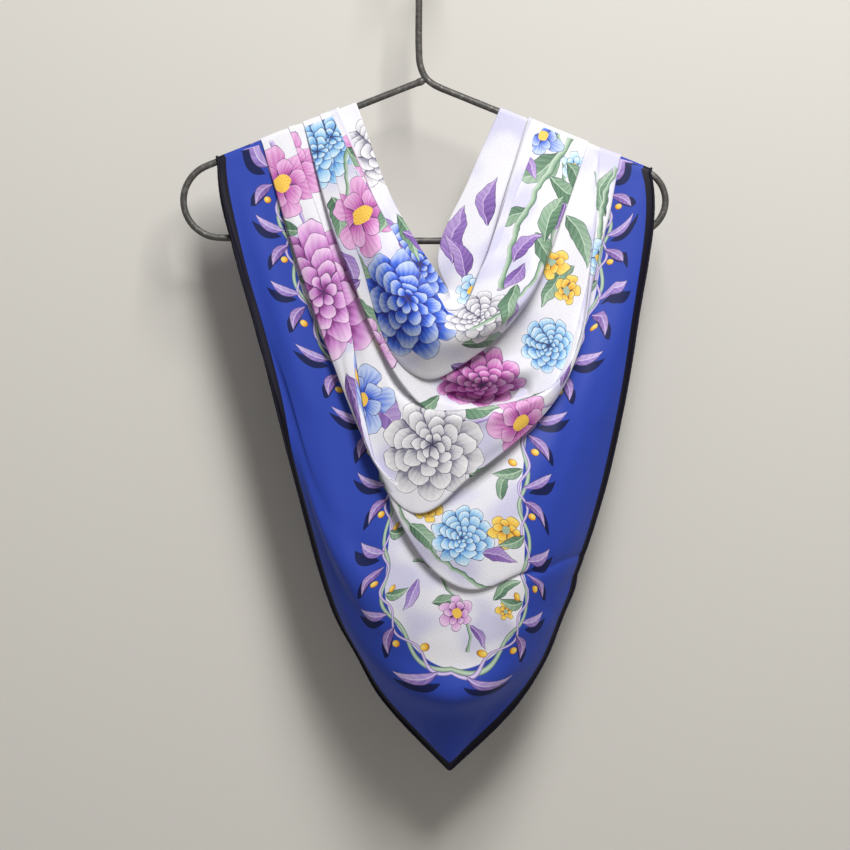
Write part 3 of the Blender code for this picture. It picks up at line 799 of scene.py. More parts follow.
def border_places(points, blocks):
    """For each point: its distances from the two hems, and how far along each hem it is."""
    border = np.full((len(points), 4), INSIDE)
    edges = {side: points[blocks[0][:TAIL_FIRST[side] + 1, EDGE_COLUMN[side]]]
             for side in (LEFT, RIGHT)}
    hemmed = blocks[0][:first_row["lower_swag"] - PLEAT_ROWS]
    near_hem = hemmed.ravel()
    for k, (side, edge) in enumerate(edges.items()):
        number, gap = nearest(points[near_hem], edge)
        heading = np.gradient(edge, path_length(edge) + np.arange(len(edge)) * 1e-6, axis=0)
        onward = np.sum((points[near_hem] - edge[number]) * heading[number], axis=1)
        border[near_hem, k] = np.sqrt(np.maximum(gap ** 2 - onward ** 2, 0))
        border[near_hem, 2 + k] = path_length(edge)[number] + onward
    for _ in range(HEM_PASSES):     # smooth over the place where the hem turns round a fold
        wide = np.pad(border[hemmed][..., 2:], ((1, 1), (1, 1), (0, 0)), mode="edge")
        border[hemmed, 2:] = (wide[:-2, 1:-1] + wide[2:, 1:-1]
                              + wide[1:-1, :-2] + wide[1:-1, 2:]) / 4
    band = hemmed[first_row["outer_band"] - ROLL_PARTS + 1:].ravel()
    border[band, 0] = np.maximum(sheet_flat.reshape(-1, 2)[band, 0], WELL_IN)
    for k, (side, block) in enumerate(zip((LEFT, RIGHT), blocks[1:])):
        block = block[:, ::-1] if side == LEFT else block
        rows = np.full(len(block), np.nan)
        for name, (local, places) in ARM_PLACES[side].items():
            rows[first_row[name] + local - TAIL_FIRST[side]] = places[:, k]
        known = np.isfinite(rows)
        rows = np.interp(np.arange(len(rows)), np.flatnonzero(known), rows[known])
        fall = np.linspace(0, 1, block.shape[1] - 1)
        border[block[:, 1:], k] = rows[:, None] * (1 - fall)
        border[block[:, 1:], 2 + k] = path_length(edges[side])[-1] + TAIL_DROP * fall
        border[block[:, 1:], 1 - k] = INSIDE
    return border


# %% The front half
points, flat, blocks, neck = whole()
faces = np.concatenate([quads(block) for block in blocks])
normal = point_normals(points, faces)
if normal[neck[len(neck) // 2], 1] > 0:
    normal = -normal

# The fold along the neckline: the front turns over to the back in a small roll.
below_neck = np.concatenate((blocks[1][-2][:-1], blocks[0][-2], blocks[2][-2][1:]))
neck_up = points[neck] - points[below_neck]
neck_up /= np.maximum(np.linalg.norm(neck_up, axis=1, keepdims=True), 1e-9)
rim = [points[neck] + NECK_ROLL * (neck_up * math.sin(turn) - normal[neck] * (1 - math.cos(turn)))
       for turn in NECK_TURNS]
border = border_places(points, blocks)
front_points = np.concatenate((points, *rim))
front_flat = np.concatenate((flat, *[flat[neck]] * len(rim)))
front_border = np.concatenate((border, *[border[neck]] * len(rim)))
rim_numbers = len(points) + np.arange(len(rim) * len(neck)).reshape(len(rim), -1)
rim_block = np.concatenate((neck[None], rim_numbers))
front_faces = np.concatenate((faces, quads(rim_block)))
silk_front = add_cloth("silk_front", front_points, front_flat, front_border, front_faces)

# %% The back half
hem_gap = np.minimum(border[:, 0], border[:, 1]).clip(0, HEM_SPREAD) / HEM_SPREAD
behind = BACK_GAP + (BACK_HEM_GAP - BACK_GAP) * (1 - hem_gap) ** 2
hidden_rows = np.zeros(sheet.shape[0], bool)
for name in [*STRETCH][1:]:
    hidden_rows[first_row[name] - PLEAT_ROWS:first_row[name]] = True
behind[blocks[0][hidden_rows].ravel()] = HIDDEN_GAP
for side, block in zip((LEFT, RIGHT), blocks[1:]):
    behind[block[hidden_rows[TAIL_FIRST[side]:]].ravel()] = HIDDEN_GAP
silk_back = add_cloth("silk_back", points - normal * behind[:, None], flat, border, faces)
for piece in (silk_front, silk_back):
    piece.data.calc_loop_triangles()
    area = sum(face.area for face in piece.data.polygons)
    print(f"{piece.name}: {len(piece.data.loop_triangles)} triangles, {area:.3f} square metres")

# %% [markdown]
# ## Rolled hems
# The four edges of a silk square are rolled inwards by hand and sewn with tiny hidden
# stitches, which leaves a plump little tube. Here it is a tube mesh along each cut edge of
# both halves, slightly uneven where the stitches pull it in.

# %% Hem tubes
HEM_RADIUS = 1.25
HEM_END_RADIUS = 0.5
HEM_SIDES = 10
HEM_STEP = 2.2          # from one ring of the tube to the next
STITCH_EVERY = 5.5
STITCH_PULL = 0.07      # a stitch narrows the hem by this share


def hem_line(grid_points, blocks, side):
    """The cut edge of one half, from the hanging point over the arm to the tail's end."""
    way = blocks[0][:TAIL_FIRST[side] + 1, EDGE_COLUMN[side]]
    beyond = blocks[1][0][::-1] if side == LEFT else blocks[2][0]
    line = grid_points[np.concatenate((way, beyond[1:]))]
    keep = np.concatenate(((True,), np.linalg.norm(np.diff(line, axis=0), axis=1) > 0.4))
    return line[keep]


def resample(line, step):
    """A line with even steps, and how far along it each of its points lies."""
    passed = path_length(line)
    marks = np.linspace(0, passed[-1], max(int(passed[-1] / step), 2))
    return np.stack([np.interp(marks, passed, line[:, k]) for k in range(3)], axis=1), marks


def tube(line, radii, sides):
    """Points and faces of a closed tube along a line, with a frame carried without twist."""
    heading = np.gradient(line, axis=0)
    heading /= np.linalg.norm(heading, axis=1, keepdims=True)
    across = np.cross(heading[0], (0.0, 1.0, 0.3))
    rings = []
    for place, ahead, radius in zip(line, heading, radii):
        across = across - ahead * np.dot(across, ahead)
        across /= np.linalg.norm(across)
        other = np.cross(ahead, across)
        turn = np.linspace(0, 2 * np.pi, sides, endpoint=False)[:, None]
        rings.append(place + radius * (np.cos(turn) * across + np.sin(turn) * other))
    count = len(rings)
    faces = [(i * sides + j, i * sides + (j + 1) % sides, (i + 1) * sides + (j + 1) % sides,
              (i + 1) * sides + j) for i in range(count - 1) for j in range(sides)]
    faces += [tuple(range(sides))[::-1], tuple((count - 1) * sides + j for j in range(sides))]
    return np.concatenate(rings), faces


def hem(name, line):
    """A rolled hem along a cut edge, pulled in a little at each stitch."""
    line, marks = resample(line, HEM_STEP)
    chance = np.random.default_rng(len(name)).normal(0, 0.05, len(line))
    stitches = STITCH_PULL * np.cos(2 * np.pi * marks / STITCH_EVERY)
    radii = HEM_RADIUS * (1 + stitches + smooth_columns(chance, 2))
    radii[0] = radii[-1] = HEM_END_RADIUS
    points, faces = tube(line, radii, HEM_SIDES)
    mesh = bpy.data.meshes.new(name)
    mesh.from_pydata((points * MM).tolist(), [], faces)
    mesh.polygons.foreach_set("use_smooth", np.ones(len(mesh.polygons), bool))
    piece = bpy.data.objects.new(name, mesh)
    bpy.context.scene.collection.objects.link(piece)
    return piece


back_points = points - normal * behind[:, None]
hems = {}
for half, half_points in (("front", points), ("back", back_points)):
    for side, side_name in ((LEFT, "left"), (RIGHT, "right")):
        name = f"hem_{half}_{side_name}"
        hems[name] = hem(name, hem_line(half_points, blocks, side))
print("hems:", {name: len(piece.data.polygons) for name, piece in hems.items()})

# %% [markdown]
# ## The forged rod
# The hanger is one round iron rod, bent hot: hook, stem, right arm, round end, lower bar,
# round end, left arm. The left arm's end is forge-welded to the stem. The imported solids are
# split where the bends start, so one tube along the same middle line replaces them and shows
# no joints. A hammer leaves such a rod slightly uneven, never quite round.

# %% The rod's path
LOOP_REACH = {LEFT: 206.9, RIGHT: 207.8}
LOOP_FOOT = {LEFT: -285.9, RIGHT: -281.9}
BAR_WAY = ((-60.0, -288.0), (7.0, -288.6), (80.0, -286.8))
STEM_X = -4.3
STEM_WAY = ((3.0, -53.0), (STEM_X + 1, -68.0), (STEM_X, -90.0), (STEM_X, -125.0),
            (-3.2, -137.5), (1.2, -147.8), (7.6, -153.6))
HOOK_RADIUS = 25.0
NECK_LENGTH = 16.0


def round_end(side):
    """The bend at one end of the hanger, from the arm to the lower bar, as (x, z) points."""
    slope = ARM_SLOPE[side]
    reach = LOOP_REACH[side] - side * ARM_START_X
    drop = ARM_START_Z[side] - LOOP_FOOT[side] - reach * math.tan(slope)
    radius = drop * math.cos(slope) / (1 - math.sin(slope) + math.cos(slope))
    middle_x, middle_z = side * (LOOP_REACH[side] - radius), LOOP_FOOT[side] + radius
    turns = np.linspace(math.pi / 2 - slope, -math.pi / 2, 25)
    return [(middle_x + side * radius * math.cos(turn), middle_z + radius * math.sin(turn))
            for turn in turns]


# %% One line for the whole rod
hook_turns = np.radians(np.arange(200, -51, -5))
hook_way = [(HOOK_RADIUS * math.cos(turn), ROD_RADIUS - HOOK_RADIUS + HOOK_RADIUS * math.sin(turn))
            for turn in hook_turns]
stem_way = [hook_way[-1], *STEM_WAY, arm_point(RIGHT, NECK_LENGTH)]
stem_way = curve_through(np.array(stem_way), (4,) * (len(stem_way) - 1))
bar_way = [round_end(RIGHT)[-1], *BAR_WAY[::-1], round_end(LEFT)[-1]]
bar_way = curve_through(np.array(bar_way), (6,) * (len(bar_way) - 1))
rod_way = [*hook_way[:-1], *stem_way, *round_end(RIGHT), *bar_way[1:-1], *round_end(LEFT)[::-1],
           arm_point(LEFT, 0.5)]
ROD_STEP = 1.3
rod_line = np.array([(x, 0.0, z) for x, z in rod_way])
apart = np.linalg.norm(np.diff(rod_line, axis=0), axis=1) > 0.3
rod_line, rod_marks = resample(rod_line[np.concatenate(((True,), apart))], ROD_STEP)
print("the rod is", round(float(rod_marks[-1])), "mm long")

# %% Hammer it
ROD_SIDES = 20
HAMMER_BLOWS = 330
chance = np.random.default_rng(5)


def slow_noise(count, smooth):
    """Chance values that change slowly along the rod."""
    values = chance.normal(0, 1, count)
    values = smooth_columns(values, smooth)
    return values / values.std()


rod_radii = ROD_RADIUS * (1 + 0.008 * slow_noise(len(rod_line), 40))
from_tip = rod_marks / ROD_RADIUS
rod_radii *= np.where(from_tip < 1, np.sqrt(np.clip(1 - (1 - from_tip) ** 2, 0.02, 1)), 1)
to_weld = rod_marks[-1] - rod_marks
rod_radii *= 1 + 0.2 * np.exp(-((to_weld - 3.5) / 2.6) ** 2) - 0.25 * np.exp(-(to_weld / 1.2) ** 2)
rod_points, rod_faces = tube(rod_line, rod_radii, ROD_SIDES)
rings = rod_points.reshape(-1, ROD_SIDES, 3)
flats_of_hammer = np.zeros(rings.shape[:2])
for _ in range(HAMMER_BLOWS):
    ring, turn = chance.integers(len(rings)), chance.uniform(0, ROD_SIDES)
    length, width = chance.uniform(2.0, 5.0), chance.uniform(1.6, 3.0)
    along = (np.arange(len(rings)) - ring) / length
    around = (np.arange(ROD_SIDES) - turn + ROD_SIDES / 2) % ROD_SIDES - ROD_SIDES / 2
    dent = np.exp(-along ** 2)[:, None] * np.exp(-(around / width) ** 2)[None]
    flats_of_hammer = np.maximum(flats_of_hammer, dent * chance.uniform(0.05, 0.14))
rings += (rod_line[:, None] - rings) * (flats_of_hammer / ROD_RADIUS)[..., None]
mesh = bpy.data.meshes.new("forged_rod")
mesh.from_pydata((rings.reshape(-1, 3) * MM).tolist(), [], rod_faces)
mesh.polygons.foreach_set("use_smooth", np.ones(len(mesh.polygons), bool))
forged_rod = bpy.data.objects.new("forged_rod", mesh)
bpy.context.scene.collection.objects.link(forged_rod)
print("forged rod:", len(mesh.polygons), "faces")

# %% [markdown]
# ## Writing a material as sums
# A printed cloth needs hundreds of small steps: distances, rings, edges. Written as nodes
# they would fill pages, so one small class wraps a node's socket and lets Python's own
# operators add the Math nodes: `1 - mask` or `a * b` is all it takes.

# %% A socket with operators
class Dye:
    """A value, colour or vector in a material's node tree."""

    def __init__(self, socket):
        self.socket = socket
        self.tree = socket.id_data

    def node(self, kind, settings=None, values=None, out=0):
        """Any node: its settings are set first, then the values or links of its sockets."""
        made = self.tree.nodes.new("ShaderNode" + kind)
        for key, value in (settings or {}).items():
            if key == "stops":
                ramp = made.color_ramp
                while len(ramp.elements) < len(value):
                    ramp.elements.new(0.5)
                for element, (place, colour) in zip(ramp.elements, value):
                    element.position = place
                    element.color = (*colour[:3], 1)
            else:
                setattr(made, key, value)
        for key, value in (values or {}).items():
            if isinstance(value, Dye):
                self.tree.links.new(value.socket, made.inputs[key])
            else:
                made.inputs[key].default_value = value
        return Dye(made.outputs[out] if isinstance(out, str) else
                   [socket for socket in made.outputs if socket.enabled][out])

    def parts(self):
        """The three numbers of a vector."""
        split = self.node("SeparateXYZ", {}, {0: self}).socket.node
        return [Dye(socket) for socket in split.outputs]

    def math(self, operation, other=None, third=None, clamp=False):
        values = {i: v for i, v in enumerate((self, other, third)) if v is not None}
        return self.node("Math", {"operation": operation, "use_clamp": clamp}, values)

    def __add__(self, other):
        return self.math("ADD", other)

    __radd__ = __add__

    def __mul__(self, other):
        return self.math("MULTIPLY", other)

    __rmul__ = __mul__

    def __sub__(self, other):
        return self.math("SUBTRACT", other)

    def __rsub__(self, other):
        return self.node("Math", {"operation": "SUBTRACT"}, {0: other, 1: self})

    def __truediv__(self, other):
        return self.math("DIVIDE", other)

    def __pow__(self, other):
        return self.math("POWER", other)

    def fused(self, factor, more):
        """This times a factor plus a number, or plus another value, in one node."""
        return self.math("MULTIPLY_ADD", factor, more)

    def step(self, start, end):
        """0 below start, 1 above end, smooth between; start may lie above end."""
        low, high, flip = (start, end, False) if start < end else (end, start, True)
        eased = self.node("MapRange", {"interpolation_type": "SMOOTHSTEP"},
                          {"Value": self, "From Min": low, "From Max": high})
        return 1 - eased if flip else eased

    def least(self, other):
        return self.math("MINIMUM", other)

    def most(self, other):
        return self.math("MAXIMUM", other)

    def mix(self, over, mask):
        """This colour with another one over it, as strongly as the mask says."""
        if not isinstance(over, Dye):
            over = (*over[:3], 1)
        return self.node("Mix", {"data_type": "RGBA"}, {0: mask, 6: self, 7: over})


def linear(colour):
    """A colour as screens give it, 0 to 255 each, as the linear light that shaders use."""
    return tuple(c / 255 / 12.92 if c <= 10 else ((c / 255 + 0.055) / 1.055) ** 2.4
                 for c in colour)


def material(name):
    """A new material with its main shader: (shader node, a Dye to start from)."""
    made = bpy.data.materials.new(name)
    made.use_nodes = True
    tree = made.node_tree
    tree.nodes.clear()
    shader = tree.nodes.new("ShaderNodeBsdfPrincipled")
    output = tree.nodes.new("ShaderNodeOutputMaterial")
    tree.links.new(shader.outputs["BSDF"], output.inputs["Surface"])
    return made, shader, Dye(shader.inputs["Roughness"])


def feed(shader, **values):
    """Set or link the shader's sockets by name, with _ for a space."""
    for key, value in values.items():
        socket = shader.inputs[key.replace("_", " ")]
        if isinstance(value, Dye):
            socket.id_data.links.new(value.socket, socket)
        else:
            socket.default_value = value


# %% [markdown]
# ## Drawing flowers with distances
# Every printed shape is a mask: 1 inside, 0 outside, soft over half a millimetre. The mask
# comes from a distance. A motif first gets its own coordinates, turned about its middle, with
# its size as the unit. A petal ring compares the distance from the middle with a scalloped
# edge. A leaf compares the distance from its bent midrib with half its width, and a stem is
# a piece of a circle. Each shape is a stamp, a small node group that takes the colours below
# it and gives them back with its own shape on top, as a printer lays one screen of dye after
# another. A stamp is built once for its kind and its dyes, and pressed wherever it is needed.

# %% Dyes
TAU = 2 * math.pi
PEN = 0.5               # width of the fine dark outlines


def dyes(*colours):
    """Screen colours as linear light."""
    return [linear(colour) for colour in colours]


NAVY, ROYAL, WHITE = dyes((21, 18, 33), (49, 73, 175), (234, 233, 239))
INK, WASH, SHADOW = dyes((54, 46, 80), (200, 197, 230), (14, 14, 34))
DYES = {
    "pink": dyes((138, 62, 136), (204, 136, 204), (240, 206, 238)),
    "magenta": dyes((124, 46, 116), (194, 100, 176), (232, 180, 222)),
    "blue": dyes((26, 46, 150), (66, 106, 214), (192, 208, 242)),
    "sky": dyes((74, 128, 200), (146, 196, 234), (220, 238, 250)),
    "grey": dyes((134, 132, 150), (206, 204, 210), (242, 240, 242)),
    "gold": dyes((176, 104, 26), (240, 174, 48), (250, 220, 112)),
    "green": dyes((54, 84, 66), (112, 148, 120), (196, 216, 194)),
    "purple": dyes((84, 56, 122), (144, 110, 184), (212, 192, 230)),
    "lilac": dyes((104, 76, 158), (164, 138, 206), (222, 208, 240)),
}


def tinted(tone, name):
    """From a tone of 0 to 1 to a colour: dark, middle, light."""
    stops = list(zip((0.0, 0.3, 0.8), DYES[name]))
    return tone.node("ValToRGB", {"stops": stops}, {0: tone})


def local(flat, place, turn, size):
    """A place about a motif's middle, turned, with the motif's size as unit."""
    return flat.node("Mapping", {"vector_type": "TEXTURE"},
                     {"Vector": flat, "Location": (*place, 0), "Scale": (size, size, size),
                      "Rotation": (0, 0, math.radians(turn))})


def length(vector):
    return vector.node("VectorMath", {"operation": "LENGTH"}, {0: vector}, out="Value")


# %% Stamps
STAMPS = {}
KINDS = {"Below": "NodeSocketColor", "Here": "NodeSocketVector"}


def stamp(draw, numbers, *details):
    """The node group of one kind of motif in its dyes, built when it is first asked for."""
    key = "_".join([draw.__name__, *map(str, details)])
    if key not in STAMPS:
        group = bpy.data.node_groups.new(key, "ShaderNodeTree")
        for name in ("Below", "Here", *numbers):
            group.interface.new_socket(name, in_out="INPUT",
                                       socket_type=KINDS.get(name, "NodeSocketFloat"))
        group.interface.new_socket("Above", in_out="OUTPUT", socket_type="NodeSocketColor")
        given = group.nodes.new("NodeGroupInput").outputs
        result = draw(*[Dye(given[name]) for name in ("Below", "Here", *numbers)], *details)
        group.links.new(result.socket, group.nodes.new("NodeGroupOutput").inputs["Above"])
        STAMPS[key] = group
    return STAMPS[key]


def press(colour, here, draw, numbers, *details):
    """A colour with one motif stamped over it."""
    group = stamp(draw, tuple(numbers), *details)
    return colour.node("Group", {"node_tree": group}, {"Below": colour, "Here": here, **numbers})


# %% A ring of petals, and two kinds of bloom
def ring(colour, radius, angle, streak, pen, petals, outer, inner, phase, dye, depth,
         curve=2.2):
    """A ring of petals laid over a colour. All lengths are shares of the bloom's radius."""
    across = angle.fused(petals / TAU, phase + petals).math("FRACT").fused(2, -1)
    side = across.math("ABSOLUTE")
    inside = (side ** curve).fused(-depth * outer, outer) - radius
    seam = side.fused(-math.pi / petals, math.pi / petals) * radius
    tone = across.fused(0.16, radius.fused(0.9 / (outer - inner), -0.9 * inner / (outer - inner)))
    tone = streak.fused(0.05, tone)
    ink = (inside.least(seam) / pen).step(1.5, 0.5) * 0.9
    return colour.mix(tinted(tone, dye).mix(INK, ink), (inside / pen).step(-0.3, 0.3))


def full(colour, here, pen, petals, dye):
    """A full flower such as a dahlia: five rings, each laid on the ring outside it."""
    x, y, _ = here.parts()
    radius, angle = length(here), y.math("ARCTAN2", x)
    streak = (angle * 46).math("SINE")
    reaches = (1.0, 0.79, 0.58, 0.4, 0.23, 0.08)
    for k, (outer, inner) in enumerate(zip(reaches, reaches[1:])):
        colour = ring(colour, radius, angle, streak, pen, max(petals - k, 4), outer, inner * 0.85,
                      0.37 * k, dye, depth=0.2 + 0.03 * k)
    return colour


def single(colour, here, pen, petals, dye):
    """A single flower with a few wide petals and a stippled heart."""
    x, y, _ = here.parts()
    radius, angle = length(here), y.math("ARCTAN2", x)
    streak = (angle * (petals * 6)).math("SINE") * 1.6
    for outer, phase, depth in ((1.0, 0, 0.5), (0.66, 0.5, 0.4)):
        colour = ring(colour, radius, angle, streak, pen, petals, outer, 0.1, phase, dye,
                      depth, curve=2.8)
    dots = (angle * 13).math("SINE") * (radius * 60).math("SINE")
    heart = tinted(dots.fused(0.3, 0.55), "green" if dye == "gold" else "gold")
    return colour.mix(heart, radius.step(0.25, 0.22))


def bloom(colour, flat, place, turn, size, petals, dye, draw=single):
    """Press a single flower, or another kind of flower."""
    return press(colour, local(flat, place, turn, size), draw, {"Pen": PEN / size}, petals, dye)


def dahlia(colour, flat, place, turn, size, petals, dye):
    """Press a full flower."""
    return bloom(colour, flat, place, turn, size, petals, dye, full)


# %% Leaves
def leaf_shape(here, width, bend):
    """How far a place is along a leaf and off its midrib, signed and not, and how far inside."""
    x, y, _ = here.parts()
    hump = x.fused(-1, 1) * x
    off = (hump * bend).fused(-4, y)
    side = off.math("ABSOLUTE")
    half = x.fused(-0.44, 1).most(0) * width * hump
    return x, off, side, half.fused(2.5, side * -1)


def leafed(colour, here, pen, width, bend, veins, dye):
    """A pointed leaf from its foot at a place, with a light midrib and side veins."""
    x, off, side, inside = leaf_shape(here, width, bend)
    vein = (x - side).fused(veins, 4).math("FRACT")
    tone = off.step(-0.01, 0.01).fused(0.2, vein.fused(0.16, x.fused(0.3, 0.02)))
    rib = (side / pen).step(1.2, 0.4) * 0.8
    body = tinted(tone, dye).mix(DYES[dye][2], rib)
    inside = inside / pen
    body = body.mix(INK, inside.step(1.4, 0.3) * 0.8)
    return colour.mix(body, inside.step(-0.3, 0.3))


def leaf(colour, flat, place, turn, size, width, dye, bend=0.1, veins=8):
    """Press a leaf."""
    return press(colour, local(flat, place, turn, size), leafed,
                 {"Pen": PEN / size, "Width": width / size, "Bend": bend}, veins, dye)


# %% Stems and berries
def stemmed(colour, here, radius, reach, half, dye):
    """A piece of a circle about the origin, on the side of +X, with an end as far as reach."""
    x, _, _ = here.parts()
    away = length(here)
    within = (x / away - reach).step(-0.002, 0.002)
    across = (away - 1) * radius
    side = across.math("ABSOLUTE") - half
    body = tinted((across / half).fused(0.35, 0.5), dye).mix(INK, side.step(-0.8 * PEN, 0) * 0.7)
    return colour.mix(body, side.step(0.2, -0.1) * within)


def stem(colour, flat, start, end, sag, half, dye):
    """A stem from start to end. Its middle lies sag millimetres to the right of the chord."""
    start, end = np.array(start, float), np.array(end, float)
    chord = np.linalg.norm(end - start)
    radius = (chord ** 2 / 4 + sag ** 2) / (2 * abs(sag))
    right = np.array(((end - start)[1], -(end - start)[0])) / chord * np.sign(sag)
    middle = (start + end) / 2 + right * (abs(sag) - radius)
    here = local(flat, tuple(middle), math.degrees(math.atan2(right[1], right[0])), radius)
    reach = math.cos(math.asin(min(chord / 2 / radius, 1)))
    return press(colour, here, stemmed, {"Radius": radius, "Reach": reach, "Half": half}, dye)


def berried(colour, here, dye):
    """A round berry, lit from one side."""
    away = length(here)
    light = here.node("VectorMath", {"operation": "DISTANCE"}, {0: here, 1: (0.3, 0.35, 0)},
                      out="Value")
    body = tinted(light.fused(-0.7, 1), dye).mix(INK, away.step(0.8, 1.0) * 0.8)
    return colour.mix(body, away.step(1.05, 0.95))


def berry(colour, flat, place, size, dye):
    """Press a berry."""
    return press(colour, local(flat, place, 0, size), berried, {}, dye)


# %% [markdown]
# ## The design
# The design is a garden on a white ground: full and open blooms in pink, blue, grey and gold,
# among green and purple leaves. Each row says on which screens the motif is printed, where
# its middle or foot lies on the flat square, its turn in degrees, its size and its dyes.
# The letters name the screens: b, o, l, m, c and n for the stretches from the lowest to the
# neckline, p and r for the middle and the right of the outer band, k for the right of the middle
# band, e for the right of the cowl, and t and u for the two tails. A material holds only
# the motifs of its own screen, which keeps it quick.

